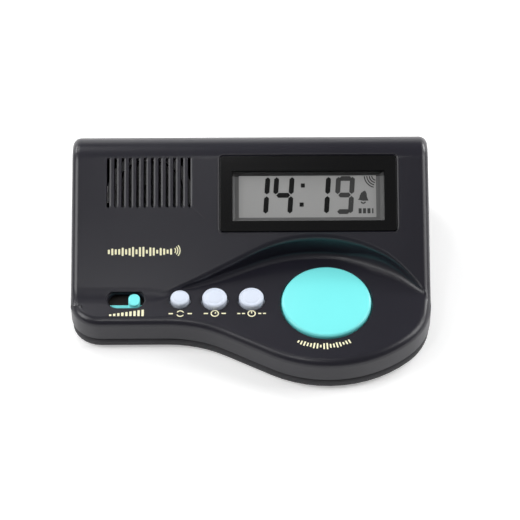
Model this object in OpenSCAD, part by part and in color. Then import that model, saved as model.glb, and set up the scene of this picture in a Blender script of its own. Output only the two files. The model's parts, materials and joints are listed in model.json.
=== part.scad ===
// Talking desk clock with a sloping face, a round talk button on a front lobe,
// three small keys, a volume slider and a liquid crystal display.
// Millimetres. +X to the right, +Y to the back, +Z up. Origin on the table,
// under the middle of the clock.

/* [Body] */
// Width of the case, left to right
body_w = 130; // [128:1:146]
// Depth of the case, from the front of the lobe to the back wall
body_d = 92; // [90:1:104]
// Height of the whole clock, feet included
body_h = 40.6; // [39:0.2:46]
// Height of the flat button deck above the table
deck_h = 15.7; // [15:0.1:17]
// Height of the seam between top shell and base above the table
seam_h = 6.3; // [6:0.1:6.8]
// Wall thickness of the top shell
wall = 2.2; // [1.8:0.1:2.4]
// Radius of the rounded rim of the top shell
edge_r = 3; // [2.2:0.1:3.4]
// Radius of the shoulder where the face meets the back wall
shoulder_r = 11; // [9:0.5:13]
// Depth of the flat deck on the left, from its front to the foot of the slope
deck_depth = 11.8; // [11.2:0.1:13]

/* [Outline] */
// How far the left front lies behind the front of the lobe
front_step = 19.2; // [17:0.2:21]
// Radius of the front left corner in plan
front_corner_r = 11; // [8:0.5:11.5]
// Radius of the hollow waist between the left front and the lobe
waist_r = 44; // [36:1:50]
// Slope of the front edge between waist and lobe, in degrees
waist_slope = 28.3; // [26:0.1:31]
// Radius of the lobe in plan
lobe_r = 44; // [42:0.5:46]
// Distance from the lobe's centre to the right side
lobe_from_side = 37.2; // [36.5:0.1:39]
// Angle at which the lobe passes into the right front corner, in degrees
lobe_sweep = 41.8; // [38:0.1:44]
// Radius of the wall behind the talk button
cove_r = 55; // [50:1:60]
// Distance from the talk button's centre back to that wall
cove_back = 22.4; // [21:0.1:24]
// How far that wall's centre lies left of the talk button
cove_shift = 3.2; // [1:0.2:5]
// Slope of that wall's left flank, in degrees
cove_slope = 24.2; // [22:0.1:27]
// Radius in which that flank runs out to the left
cove_run_r = 90; // [70:1:96]

/* [Base and feet] */
// Inset of the base behind the top shell
base_inset = 0.4; // [0.2:0.1:0.6]
// Thickness of the base's floor
floor_t = 2.2; // [2:0.1:2.6]
// Chamfer along the lower edge of the base
base_chamfer = 1; // [0.6:0.1:1.2]
// Height of the locating lip above the seam
lip_h = 1.5; // [1:0.1:2]
// Thickness of the locating lip
lip_t = 1; // [0.8:0.1:1.2]
// Height of the feet below the base
foot_h = 1.2; // [1:0.1:1.6]
// Diameter of a foot
foot_d = 9; // [7:0.5:10]
// Depth of the pocket that holds a foot
foot_sink = 0.5; // [0.3:0.1:0.8]

/* [Keys] */
// Diameter of the talk button
talk_d = 32.3; // [30:0.1:33]
// Height of the talk button above the deck, at its middle
talk_rise = 2.3; // [1.8:0.1:3]
// Distance from the front of the lobe to the talk button's centre
talk_from_front = 27.9; // [27:0.1:29]
// How far the talk button lies left of the lobe's centre
talk_shift = 0.6; // [0:0.1:1.2]
// Travel of the talk button
talk_travel = 1; // [0.6:0.1:1.2]
// Diameter of the mode key
mode_d = 6.85; // [6:0.05:8]
// Diameter of the hour and minute keys
time_d = 8.95; // [8:0.05:9.4]
// Height of the small keys above the deck
key_rise = 2.1; // [1.5:0.1:2.6]
// Travel of the small keys
key_travel = 0.5; // [0.3:0.1:0.7]
// Distance from the left front to the line of small keys
key_from_front = 10.3; // [10:0.1:10.6]
// Distance from the left side to the mode key
mode_from_side = 39.5; // [39:0.1:40.5]
// Distance from the left side to the hour key
hour_from_side = 52; // [51.6:0.1:52.4]
// Distance from the left side to the minute key
minute_from_side = 65.2; // [64.6:0.1:65.6]
// Gap round a key in its hole
key_gap = 0.3; // [0.2:0.05:0.4]
// Width of the retaining flange round a key
flange_w = 1.1; // [0.9:0.1:1.3]
// Thickness of the retaining flange
flange_t = 1; // [0.8:0.1:1.2]

/* [Volume slider] */
// Distance from the left side to the middle of the volume slot
volume_from_side = 20.1; // [19.8:0.1:20.6]
// Length of the volume slot
volume_slot_l = 13; // [12.6:0.1:13.4]
// Width of the volume slot
volume_slot_w = 6.9; // [6.5:0.1:7.4]
// Width of the grip in the slot
grip_w = 4.2; // [3.6:0.1:4.6]
// Length of the grip, front to back
grip_l = 5.6; // [5:0.1:5.8]
// Travel of the slider to each side of the slot's middle
volume_half_travel = 2.9; // [2.5:0.1:3]

/* [Display] */
// Distance from the right side to the middle of the lens
lens_from_side = 43.9; // [43:0.1:45]
// Distance from the shoulder down the face to the middle of the lens
lens_drop = 12.7; // [12.6:0.1:13.4]
// Width of the lens
lens_w = 64; // [62:0.5:65]
// Height of the lens along the face
lens_h = 28.1; // [27:0.1:28.3]
// Thickness of the lens
lens_t = 1.5; // [1.3:0.1:1.7]
// How far the lens stands proud of the face
lens_proud = 0.2; // [0.1:0.05:0.4]
// Width of the clear window
window_w = 55.4; // [53:0.2:55.6]
// Height of the clear window
window_h = 18.6; // [17.6:0.2:19.4]
// How far the window lies below the middle of the lens
window_drop = 0.9; // [0.6:0.1:1.2]
// Width of the display glass
glass_w = 56; // [55.8:0.1:56.8]
// Height of the rear display glass
glass_h = 20; // [19.6:0.1:20.4]
// Thickness of each of the two display glasses
glass_t = 1.1; // [0.9:0.05:1.2]
// Thickness of the films on the display glass
film_t = 0.2; // [0.15:0.05:0.3]
// Width of the contact ledge below the rear display glass
ledge_w = 3; // [2.8:0.1:3.4]
// Distance from the inside of the face to the display board
board_drop = 6.6; // [6.2:0.1:7]

/* [Speaker grille] */
// Number of slots
slot_count = 12; // [8:1:12]
// Pitch of the slots
slot_pitch = 2.68; // [2.2:0.02:2.7]
// Width of a slot
slot_w = 1.5; // [1:0.1:1.7]
// Length of a slot along the face
slot_l = 18.7; // [14:0.1:19]
// Distance from the left side to the middle of the grille
grille_from_side = 28.3; // [28:0.1:29.5]
// Distance from the shoulder down the face to the middle of the grille
grille_drop = 8.3; // [8:0.1:9.5]
// Diameter of the speaker
speaker_d = 28; // [26:0.5:28.5]
// How far the speaker sits below the middle of the grille
speaker_drop = 3; // [2.5:0.1:4]

/* [Boards] */
// Thickness of the circuit boards
board_t = 1.6; // [1.2:0.1:1.8]
// Gap between the base's floor and the key board
key_board_lift = 1.7; // [1.6:0.1:1.9]
// Depth of the key board, front to back
key_board_d = 16.7; // [16.2:0.1:17.4]
// Diameter of the posts that carry the boards
post_d = 4.5; // [4:0.1:4.8]

/* [Battery box] */
// Diameter of a battery cell
cell_d = 10.5; // [10.2:0.1:10.7]
// Length of a battery cell with its nub
cell_l = 44.5; // [43.5:0.1:45]
// Length of the spring between cell and plate
spring_l = 4.5; // [4:0.1:5]
// Wall thickness of the battery box
box_wall = 1.5; // [1.2:0.1:1.8]
// Thickness of the battery door
door_t = 1.9; // [1.7:0.1:2]
// Running gap round the battery door
door_gap = 0.2; // [0.15:0.01:0.25]

/* [Screws] */
// Shank diameter of a case screw
case_screw_d = 2.6; // [2.2:0.1:2.8]
// Head diameter of a case screw
case_head_d = 4.8; // [4.4:0.1:5]
// Shank diameter of a board screw
board_screw_d = 1.9; // [1.7:0.1:2.1]
// Head diameter of a board screw
board_head_d = 3.6; // [3.2:0.1:3.8]

/* [Hidden] */

fine = 72;         // segments of a full circle
over = 1;          // how far a cut runs past a face
fit = 0.15;        // gap where one fixed piece locates in another
thread_gap = 0.05; // gap between a screw's shank and its pilot hole
wire_d = 1.2;      // diameter of a lead

hw = body_w / 2;
hd = body_d / 2;
front_y = -hd + front_step;
crease_y = front_y + deck_depth;
lobe_c = [hw - lobe_from_side, -hd + lobe_r];
talk_c = [lobe_c[0] - talk_shift, -hd + talk_from_front];
cove_c = [talk_c[0] - cove_shift, talk_c[1] + cove_back - cove_r];
side_corner_r = (lobe_from_side - lobe_r * sin(lobe_sweep)) / (1 - sin(lobe_sweep));
side_corner_c = lobe_c + (lobe_r - side_corner_r) * [sin(lobe_sweep), -cos(lobe_sweep)];

// The face runs from the crease to the shoulder, which it meets as a tangent.
shoulder_c = [hd - shoulder_r, body_h - shoulder_r];
shoulder_reach = norm(shoulder_c - [crease_y, deck_h]);
slope = atan2(shoulder_c[1] - deck_h, shoulder_c[0] - crease_y)
        + asin(shoulder_r / shoulder_reach);
face_l = sqrt(pow(shoulder_reach, 2) - pow(shoulder_r, 2));

// Levels below the deck, in height above the table
floor_z = foot_h + floor_t;
deck_under_z = deck_h - wall;
key_board_z = floor_z + key_board_lift;
board_top_z = key_board_z + board_t;
switch_h = 3.5;
switch_w = 6;
switch_top_z = board_top_z + switch_h;
flange_z = deck_under_z - flange_t;
stem_l = 1;
stem_z = flange_z - stem_l;
plunger_d = 3.4;
plunger_sink = 0.8;

// The row of small keys
key_y = front_y + key_from_front;
mode_c = [-hw + mode_from_side, key_y];
hour_c = [-hw + hour_from_side, key_y];
minute_c = [-hw + minute_from_side, key_y];
volume_c = [-hw + volume_from_side, key_y];

// The volume slider's plate covers the slot wherever the grip stands.
grip_x = volume_c[0] + volume_half_travel;
volume_plate_l = volume_slot_l + 2 * volume_half_travel + 1;
volume_plate_w = volume_slot_w + 3;
volume_plate_t = 1.2;
volume_plate_z = deck_under_z - 0.1 - volume_plate_t;
volume_switch_size = [14, 6, 4];
volume_tab_w = 2;

// The key board reaches from the volume switch to the right of the talk button.
key_board_front_y = front_y + 3.6;
key_board_left = volume_c[0] - 9.6;
key_board_right = talk_c[0] + 23.8;
key_post_y = key_board_front_y + key_board_d - 2.5;
key_posts = [[key_board_left + 2.5, key_post_y], [(mode_c[0] + hour_c[0]) / 2, key_post_y],
             [minute_c[0] + 7.3, key_post_y], [talk_c[0] + 20.8, talk_c[1] + 2.1]];

// Places on the sloping face: distance up the face from the crease
lens_x = hw - lens_from_side;
lens_v = face_l - lens_drop;
lcd_v = lens_v - window_drop;
grille_x = -hw + grille_from_side;
grille_v = face_l - grille_drop;
speaker_v = grille_v - speaker_drop;
front_glass_h = glass_h + ledge_w;
front_glass_v = lcd_v - ledge_w / 2;
display_rim = 2.1;
display_back_t = 1.4;
stack_t = 2 * film_t + 2 * glass_t;
strip_w = 2;
cove_clear_v = (cove_c[1] + cove_r + wall + fit - crease_y - wall * sin(slope))
               / cos(slope); // first place behind the cove wall
strip_v = lcd_v - glass_h / 2 - ledge_w + strip_w / 2 + 0.4;
display_board_w = 72;
display_board_low_v = front_glass_v - front_glass_h / 2 - 1.8;
display_board_high_v = lcd_v + glass_h / 2 + 2;
display_board_h = display_board_high_v - display_board_low_v;
display_board_v = (display_board_high_v + display_board_low_v) / 2;
display_post_x = display_board_w / 2 - 2.7;
display_post_v = display_board_h / 2 - 3.9;
display_posts = [for (sx = [-1, 1], sv = [-1, 1])
                 [lens_x + sx * display_post_x, display_board_v + sv * display_post_v]];

// Speaker stack, measured inwards from the inside of the face
seat_h = 2.5;
seat_wall = 1.3;
slot_relief = 0.6;
rim_t = 1;
basket_h = 2;
magnet_h = 3;
speaker_r = speaker_d / 2;
magnet_r = 8;
tag_size = [5.5, 6, 0.8];
clamp_t = 1;
clamp_reach = 0.8;
speaker_posts = [for (sx = [-1, 1]) [grille_x + sx * (speaker_r + 4.2), speaker_v]];

// Battery box under the display, against the back
box_l = cell_l + spring_l + 1;
plate_t = 0.4;
cell_pitch = cell_d + 1;
box_w = 2 * cell_d + 2.4;
box_back_y = hd - 7.4;
box_front_y = box_back_y - box_w;
box_mid_y = (box_back_y + box_front_y) / 2;
cell_z = floor_z + 0.2 + cell_d / 2;
box_top_z = cell_z + cell_d / 2 + 0.3;
box_roof_z = box_top_z + 1.3;
nub_l = 1.2;
nub_d = 3.8;
tab_w = 3;
tab_rise = 2;
door_w = box_l + 1;
door_front_y = box_front_y - 1.5;
door_back_y = hd - base_inset;
door_lip_t = 1.6;
groove_w = 1.6;
groove_low_z = foot_h + 0.9;
ledge_top_z = floor_z + 1.5;

// Case screws: bosses of the top shell stand on pillars of the base.
boss_d = 6;
pillar_d = 8;
screw_floor = 2.1;
case_screw_l = 8;
head_h = 1.5;
board_head_h = 1.3;
board_screw_l = 4.6;
case_points = [[-hw + 6.5, crease_y + 8.5], side_corner_c + [11.6, -10.8],
               [-hw + 7.5, hd - 8], [hw - 7.5, hd - 8]];
foot_points = [[-hw + 12, crease_y - 1], lobe_c + [10.2, 11 - lobe_r],
               [-hw + 18, hd - 8], [hw - 18, hd - 8]];

function arc_pts(c, r, a0, a1, n) =
    [for (i = [0 : n]) let (a = a0 + (a1 - a0) * i / n) c + r * [cos(a), sin(a)]];

// An edge that runs level at y, turns through radius ra into a flank of the given
// angle, and passes over a circle of radius rb round c. dir is 1 for an edge that
// rises to the right and -1 for one that falls. The edge is moved back by off.
function s_edge(dir, y, ra, rb, c, angle, off, end_a) =
    let (t = c + rb * [-sin(angle), dir * cos(angle)],
         foot_x = t[0] - dir * (t[1] - y) / tan(angle),
         run_x = foot_x - ra * tan(angle / 2))
    concat(arc_pts([run_x, y + dir * ra], ra - dir * off,
                   -dir * 90, -dir * (90 - angle), 6),
           arc_pts(c, rb + dir * off, dir * (90 + angle), dir * end_a, 12));

// Front of the case from the left side to the right side, moved inwards by off
function front_edge(off) =
    concat(arc_pts([-hw + front_corner_r, front_y + front_corner_r],
                   front_corner_r - off, 180, 270, 8),
           s_edge(-1, front_y, waist_r, lobe_r, lobe_c, waist_slope, off,
                  90 - lobe_sweep),
           [for (p = arc_pts(side_corner_c, side_corner_r - off,
                             lobe_sweep - 90, 0, 8)) if (p[0] > -hw) p]);

// Whole outline, moved inwards by off, from the back left corner round the front
function outline(off) =
    let (r = max(edge_r - off, 0.3), x = hw - off - r, y = hd - off - r)
    concat(arc_pts([-x, y], r, 90, 180, 6), front_edge(off), arc_pts([x, y], r, 0, 90, 6));

// Outline of the part in front of the line back_y
function front_outline(off, back_y) =
    concat([[-hw + off, back_y]], front_edge(off), [[hw - off, back_y]]);

function face_z(y) = deck_h + (y - crease_y) * tan(slope);

// Side view of the shoulder and the back, as y and z, moved inwards by off. The
// points in front close it between the face and the back wall.
function side_view(off, front_points) =
    concat(arc_pts(shoulder_c, shoulder_r - off, 0, 90 + slope, 12), front_points);

// Plan of everything in front of the wall behind the talk button
function cove_plan(off) =
    let (reach = (hw + over - cove_c[0]) / (cove_r + off))
    concat([[-hw - over, crease_y + off]],
           s_edge(1, crease_y, cove_run_r, cove_r, cove_c, cove_slope, off, acos(reach)),
           [[hw + over, -hd - over], [-hw - over, -hd - over]]);

function rounded_rect(w, h, r) =
    concat(arc_pts([w / 2 - r, h / 2 - r], r, 0, 90, 4),
           arc_pts([r - w / 2, h / 2 - r], r, 90, 180, 4),
           arc_pts([r - w / 2, r - h / 2], r, 180, 270, 4),
           arc_pts([w / 2 - r, r - h / 2], r, 270, 360, 4));

// A slot outline of length l and width w along X
function slot_outline(l, w) =
    concat(arc_pts([(l - w) / 2, 0], w / 2, -90, 90, 10),
           arc_pts([(w - l) / 2, 0], w / 2, 90, 270, 10));

// A closed skin over rings of points. Every ring turns the same way.
module loft(rings) {
    n = len(rings[0]);
    last = (len(rings) - 1) * n;
    sides = [for (k = [0 : len(rings) - 2], j = [0 : n - 1])
             let (a = k * n + j, b = k * n + (j + 1) % n)
             each [[a, a + n, b + n], [a, b + n, b]]];
    low_cap = [for (j = [1 : n - 2]) [0, j, j + 1]];
    high_cap = [for (j = [1 : n - 2]) [last, last + j + 1, last + j]];
    polyhedron([for (ring = rings) each ring], concat(sides, low_cap, high_cap));
}

// A tube of radius r along points, with its first and last ring square to the ends
module tube(points, tangents, r, up, sides = 8) {
    loft([for (i = [0 : len(points) - 1])
          let (t = tangents[i] / norm(tangents[i]), n = cross(t, up) / norm(cross(t, up)),
               b = cross(t, n))
          [for (s = [0 : sides - 1]) let (a = 360 * s / sides)
           points[i] + r * (n * cos(a) + b * sin(a))]]);
}

// A lead that leaves p0 along d0 and arrives at p3 along d3
module lead(p0, d0, p3, d3, up) {
    p1 = p0 + d0;
    p2 = p3 - d3;
    steps = 10;
    tube([for (i = [0 : steps]) let (t = i / steps, s = 1 - t)
          s * s * s * p0 + 3 * s * s * t * p1 + 3 * s * t * t * p2 + t * t * t * p3],
         [for (i = [0 : steps]) let (t = i / steps, s = 1 - t)
          s * s * (p1 - p0) + 2 * s * t * (p2 - p1) + t * t * (p3 - p2)],
         wire_d / 2, up);
}

// A point at x, v up the face and w outwards from the face
function face_point(x, v, w) =
    [x, crease_y + v * cos(slope) - w * sin(slope), deck_h + v * sin(slope) + w * cos(slope)];
face_out = [0, -sin(slope), cos(slope)];

module on_face(x, v, w = 0) {
    translate(face_point(x, v, w)) rotate([slope, 0, 0]) children();
}

module at_points(points, z) {
    for (p = points) translate([p[0], p[1], z]) children();
}

module plate(w, h, t, r) {
    linear_extrude(t) polygon(rounded_rect(w, h, r));
}

module block(low, high) {
    translate(low) cube(high - low);
}

module ring_disc(r_out, r_in, t) {
    difference() {
        cylinder(h = t, r = r_out, $fn = fine);
        translate([0, 0, -over]) cylinder(h = t + 2 * over, r = r_in, $fn = fine);
    }
}

// Space in front of the wall behind the talk button, above the height z
module cove_space(off, z) {
    translate([0, 0, z]) linear_extrude(body_h) polygon(cove_plan(off));
}

// Everything inside the top shell at the depth off below its surface
module inner_space(off) {
    crease_in_y = crease_y + off * tan(slope / 2);
    difference() {
        intersection() {
            linear_extrude(body_h) polygon(outline(off));
            translate([-hw, 0, 0]) rotate([90, 0, 90]) linear_extrude(body_w)
                polygon(side_view(off, [[crease_in_y, deck_h - off], [-hd, deck_h - off],
                                        [-hd, 0], [hd - off, 0]]));
        }
        cove_space(off, deck_h - off);
    }
}

// Outer form of the top shell, solid
module shell_form() {
    rim = [for (k = [0 : 5]) let (a = 90 * k / 5)
           [edge_r * (1 - cos(a)), deck_h - edge_r + edge_r * sin(a)]];
    join_y = crease_y + 30;
    start_y = max(crease_y, front_y + front_corner_r, side_corner_c[1]);
    sides = [for (k = [0 : 5]) let (a = 90 * k / 5)
             [hw - edge_r * (1 - sin(a)), edge_r * (1 - cos(a))]];
    stations = concat([for (k = [5 : -1 : 0]) [-sides[k][0], sides[k][1]]], sides);
    loft(concat([[for (p = front_outline(0, join_y)) [p[0], p[1], seam_h]]],
                [for (q = rim) [for (p = front_outline(q[0], join_y)) [p[0], p[1], q[1]]]]));
    difference() {
        loft([for (q = stations)
              [for (p = side_view(q[1], [[start_y, face_z(start_y) - q[1] / cos(slope)],
                                         [start_y, seam_h], [hd - q[1], seam_h]]))
               [q[0], p[0], p[1]]]]);
        cove_space(0, deck_h);
    }
}

module top_shell() {
    color("#2b2b2e") difference() {
        union() {
            difference() {
                shell_form();
                inner_space(wall);
            }
            intersection() {
                union() {
                    at_points(case_points, seam_h)
                        cylinder(h = body_h, d = boss_d, $fn = fine);
                    at_points(key_posts, board_top_z)
                        cylinder(h = body_h, d = post_d, $fn = fine);
                    for (p = display_posts) on_face(p[0], p[1], -wall - board_drop)
                        cylinder(h = wall + board_drop, d = post_d, $fn = fine);
                    for (p = speaker_posts) on_face(p[0], p[1], -wall - seat_h - rim_t)
                        cylinder(h = wall + seat_h + rim_t, d = post_d, $fn = fine);
                    on_face(grille_x, speaker_v, -wall - seat_h - rim_t) difference() {
                        ring_disc(speaker_r + seat_wall, speaker_r - 1.5, wall + seat_h + rim_t);
                        translate([0, 0, -over])
                            cylinder(h = rim_t + over, r = speaker_r + fit, $fn = fine);
                    }
                }
                inner_space(wall / 2);
            }
        }
        at_points(case_points, seam_h - over)
            cylinder(h = over + case_screw_l - screw_floor + 0.3,
                     d = case_screw_d + 2 * thread_gap, $fn = fine);
        at_points(key_posts, board_top_z - over)
            cylinder(h = over + board_screw_l - board_t + 0.2,
                     d = board_screw_d + 2 * thread_gap, $fn = fine);
        for (p = display_posts) on_face(p[0], p[1], -wall - board_drop - over)
            cylinder(h = over + board_screw_l - board_t + 0.2,
                     d = board_screw_d + 2 * thread_gap, $fn = fine);
        for (p = speaker_posts) on_face(p[0], p[1], -wall - seat_h - rim_t - over)
            cylinder(h = over + board_screw_l - clamp_t + 0.2,
                     d = board_screw_d + 2 * thread_gap, $fn = fine);
        on_face(lens_x, lens_v, lens_proud - lens_t)
            plate(lens_w + 2 * fit, lens_h + 2 * fit, lens_t + over, 1.2);
        on_face(lens_x, lcd_v, -wall - over)
            plate(window_w + 0.6, window_h + 0.6, wall + over, 0.8);
        for (i = [0 : slot_count - 1])
            on_face(grille_x + (i - (slot_count - 1) / 2) * slot_pitch, grille_v,
                    -wall - slot_relief)
                rotate([0, 0, 90]) linear_extrude(wall + slot_relief + over)
                    polygon(slot_outline(slot_l, slot_w));
        at_points([mode_c], deck_under_z - over)
            cylinder(h = wall + 2 * over, d = mode_d + 2 * key_gap, $fn = fine);
        at_points([hour_c, minute_c], deck_under_z - over)
            cylinder(h = wall + 2 * over, d = time_d + 2 * key_gap, $fn = fine);
        at_points([talk_c], deck_under_z - over)
            cylinder(h = wall + 2 * over, d = talk_d + 2 * key_gap, $fn = fine);
        at_points([volume_c], deck_under_z - over) linear_extrude(wall + 4)
            polygon(slot_outline(volume_slot_l, volume_slot_w));
    }
}

module base_shell() {
    half_l = box_l / 2;
    color("#242427") difference() {
        union() {
            difference() {
                loft([for (q = [[base_inset + base_chamfer, foot_h],
                                [base_inset, foot_h + base_chamfer], [base_inset, seam_h]])
                      [for (p = outline(q[0])) [p[0], p[1], q[1]]]]);
                translate([0, 0, floor_z]) linear_extrude(seam_h)
                    polygon(outline(base_inset + wall));
            }
            translate([0, 0, seam_h - over]) linear_extrude(over + lip_h) difference() {
                polygon(outline(wall + fit));
                polygon(outline(wall + fit + lip_t));
            }
            at_points(case_points, foot_h + base_chamfer)
                cylinder(h = seam_h - foot_h - base_chamfer, d = pillar_d, $fn = fine);
            at_points([mode_c, hour_c, minute_c, talk_c, volume_c], floor_z - over)
                cylinder(h = over + key_board_lift, d = 4, $fn = fine);
            block([-half_l - 3.7, door_front_y - 1.5, foot_h + 0.5],
                  [half_l + 3.7, hd - wall - fit - 0.5, ledge_top_z]);
            block([-half_l - box_wall, box_front_y - box_wall, floor_z],
                  [half_l + box_wall, box_back_y + box_wall, box_roof_z]);
            block([-half_l - 3.7, hd - wall - fit - lip_t - 0.5, floor_z],
                  [half_l + 3.7, hd - wall - fit, seam_h]);
        }
        difference() {
            block([-half_l, box_front_y, foot_h], [half_l, box_back_y, box_top_z]);
            block([-half_l + 4, box_mid_y - 0.2, cell_z + 1],
                  [half_l - 4, box_mid_y + 0.2, box_top_z + over]);
        }
        block([-door_w / 2 - door_gap, door_front_y, 0],
              [door_w / 2 + door_gap, hd + over, floor_z]);
        block([-door_w / 2 - groove_w, door_front_y, groove_low_z],
              [door_w / 2 + groove_w, hd + over, floor_z]);
        block([-door_w / 2 - door_gap, door_back_y - door_lip_t - door_gap, 0],
              [door_w / 2 + door_gap, hd + over, seam_h + over]);
        for (y = [box_mid_y - cell_pitch / 2, box_mid_y + cell_pitch / 2])
            block([-half_l + 0.05, y - tab_w / 2 - 0.2, box_top_z - over],
                  [-half_l + 0.05 + plate_t + 0.2, y + tab_w / 2 + 0.2, box_roof_z + over]);
        at_points(case_points, 0)
            cylinder(h = seam_h - screw_floor, d = case_head_d + 0.6, $fn = fine);
        at_points(case_points, 0)
            cylinder(h = seam_h + over, d = case_screw_d + 0.3, $fn = fine);
        at_points(foot_points, 0)
            cylinder(h = foot_h + foot_sink, d = foot_d + 2 * fit, $fn = fine);
    }
}

module battery_door() {
    low_z = foot_h + 0.1;
    high_z = floor_z - door_gap;
    front = door_front_y + door_gap;
    color("#242427") difference() {
        union() {
            translate([-door_w / 2, 0, 0]) rotate([90, 0, 90]) linear_extrude(door_w)
                polygon([[front, high_z - door_t], [door_back_y - base_chamfer, low_z],
                         [door_back_y, low_z + base_chamfer], [door_back_y, seam_h - 0.2],
                         [door_back_y - door_lip_t, seam_h - 0.2],
                         [door_back_y - door_lip_t, high_z], [front, high_z]]);
            block([-door_w / 2 - groove_w + door_gap, front + 1, groove_low_z + door_gap],
                  [door_w / 2 + groove_w - door_gap, box_back_y, high_z]);
        }
        for (i = [0 : 4])
            block([-8, box_back_y - 2 - 2.4 * i, 0], [8, box_back_y - 1 - 2.4 * i, low_z + 0.5]);
    }
}

module rubber_feet() {
    color("#3c3c3e") at_points(foot_points, 0) rotate_extrude($fn = fine)
        polygon(concat([[0, 0]], arc_pts([foot_d / 2 - 0.5, 0.5], 0.5, -90, 0, 4),
                       [[foot_d / 2, foot_h + foot_sink], [0, foot_h + foot_sink]]));
}

// A pan head screw. Its head's underside is at z = 0 and its shank points up.
module pan_screw(d, l, head_d, head_t) {
    difference() {
        union() {
            cylinder(h = l, d = d, $fn = fine);
            translate([0, 0, -head_t]) cylinder(h = head_t, d = head_d, $fn = fine);
        }
        for (a = [0, 90]) rotate([0, 0, a])
            block([-head_d * 0.3, -0.3, -head_t - over], [head_d * 0.3, 0.3, -head_t * 0.4]);
    }
}

module case_screws() {
    color("silver") at_points(case_points, seam_h - screw_floor)
        pan_screw(case_screw_d, case_screw_l, case_head_d, head_h);
}

module display_lens() {
    color([0.1, 0.1, 0.12, 0.6]) on_face(lens_x, lens_v, lens_proud - lens_t)
        plate(lens_w, lens_h, lens_t, 1.1);
}

// One layer of the display at the depth w below the inside of the face
module display_layer(v, h, depth, t) {
    on_face(lens_x, v, -wall - depth - t) linear_extrude(t)
        square([glass_w, h], center = true);
}

module lcd_front_film() {
    color("#8f9c8c") display_layer(lcd_v, glass_h - 0.4, 0, film_t);
}

module lcd_front_glass() {
    color("#c3cec6") display_layer(front_glass_v, front_glass_h, film_t, glass_t);
}

module lcd_rear_glass() {
    color("#b5c2b8") display_layer(lcd_v, glass_h, film_t + glass_t, glass_t);
}

module lcd_reflector() {
    color("#d5d8d2") display_layer(lcd_v, glass_h - 0.4, film_t + 2 * glass_t, film_t);
}

module lcd_frame() {
    inner_w = glass_w + 2 * fit;
    inner_h = front_glass_h + 2 * fit;
    back = stack_t + display_back_t;
    low_v = max(front_glass_v - inner_h / 2 - display_rim + 0.3, cove_clear_v);
    high_v = front_glass_v + inner_h / 2 + display_rim - 0.3;
    color("#e6e6e2") difference() {
        on_face(lens_x, (low_v + high_v) / 2, -wall - board_drop)
            linear_extrude(board_drop)
                square([inner_w + 2 * display_rim, high_v - low_v], center = true);
        on_face(lens_x, front_glass_v, -wall - stack_t) linear_extrude(stack_t + over)
            square([inner_w, inner_h], center = true);
        on_face(lens_x, front_glass_v, -wall - board_drop - over)
            linear_extrude(board_drop - back + over) square([inner_w, inner_h], center = true);
        on_face(lens_x, lcd_v + 1, -wall - back - over) linear_extrude(back)
            square([glass_w - 8, glass_h - 6], center = true);
        on_face(lens_x, strip_v, -wall - board_drop) linear_extrude(board_drop)
            square([glass_w - 4 + 2 * fit, strip_w + 2 * fit], center = true);
    }
}

module contact_strip() {
    top = film_t + glass_t;
    color("#d77f8b") on_face(lens_x, strip_v, -wall - board_drop)
        linear_extrude(board_drop - top) square([glass_w - 4, strip_w], center = true);
}

module display_board() {
    color("#2f6b3c") difference() {
        on_face(lens_x, display_board_v, -wall - board_drop - board_t)
            plate(display_board_w, display_board_h, board_t, 1);
        for (p = display_posts) on_face(p[0], p[1], -wall - board_drop - board_t - over)
            cylinder(h = board_t + 2 * over, d = board_screw_d + 0.4, $fn = fine);
    }
}

module display_board_screws() {
    color("silver") for (p = display_posts)
        on_face(p[0], p[1], -wall - board_drop - board_t)
            pan_screw(board_screw_d, board_screw_l, board_head_d, board_head_h);
}

// A piece on the back of the display board, dx right and dv up from its middle
module behind_board(dx, dv, depth) {
    on_face(lens_x + dx, display_board_v + dv, -wall - board_drop - board_t - depth)
        children();
}

module sound_chip() {
    body = [18, 7.5, 2.1];
    color("#1c1c1e") behind_board(4, 0, body[2]) {
        linear_extrude(body[2] - 0.3) square([body[0], body[1]], center = true);
        for (side = [-1, 1], i = [-6 : 6])
            translate([i * 1.27 - 0.2, side * (body[1] / 2 + 0.75) - 0.75, 1])
                cube([0.4, 1.5, body[2] - 1]);
    }
}

module clock_crystal() {
    can_d = 2;
    color("silver") behind_board(-14, 4, can_d / 2) rotate([0, 90, 0])
        cylinder(h = 6, d = can_d, center = true, $fn = fine);
}

module capacitor() {
    can_d = 5;
    color("#20304a") behind_board(22, 5, can_d / 2) rotate([0, 90, 0])
        cylinder(h = 8, d = can_d, center = true, $fn = fine);
}

module speaker_frame() {
    basket_r = speaker_r - 1;
    back_r = magnet_r + 0.8;
    color("#9a9b9c") on_face(grille_x, speaker_v, -wall - seat_h) {
        difference() {
            rotate_extrude($fn = fine)
                polygon([[speaker_r - 1.6, 0], [speaker_r, 0], [speaker_r, -rim_t],
                         [basket_r, -rim_t], [back_r, -rim_t - basket_h],
                         [3.4, -rim_t - basket_h], [3.4, -rim_t - basket_h + 0.6],
                         [back_r - 0.6, -rim_t - basket_h + 0.6], [speaker_r - 1.6, -rim_t]]);
        }
        translate([magnet_r + 0.2, -tag_size[1] / 2, -rim_t - basket_h])
            cube(tag_size);
    }
}

module speaker_magnet() {
    color("#55565a") on_face(grille_x, speaker_v, -wall - seat_h - rim_t - basket_h) {
        translate([0, 0, -magnet_h]) cylinder(h = magnet_h, r = magnet_r, $fn = fine);
        cylinder(h = 0.9, r = 3.2, $fn = fine);
    }
}

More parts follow.
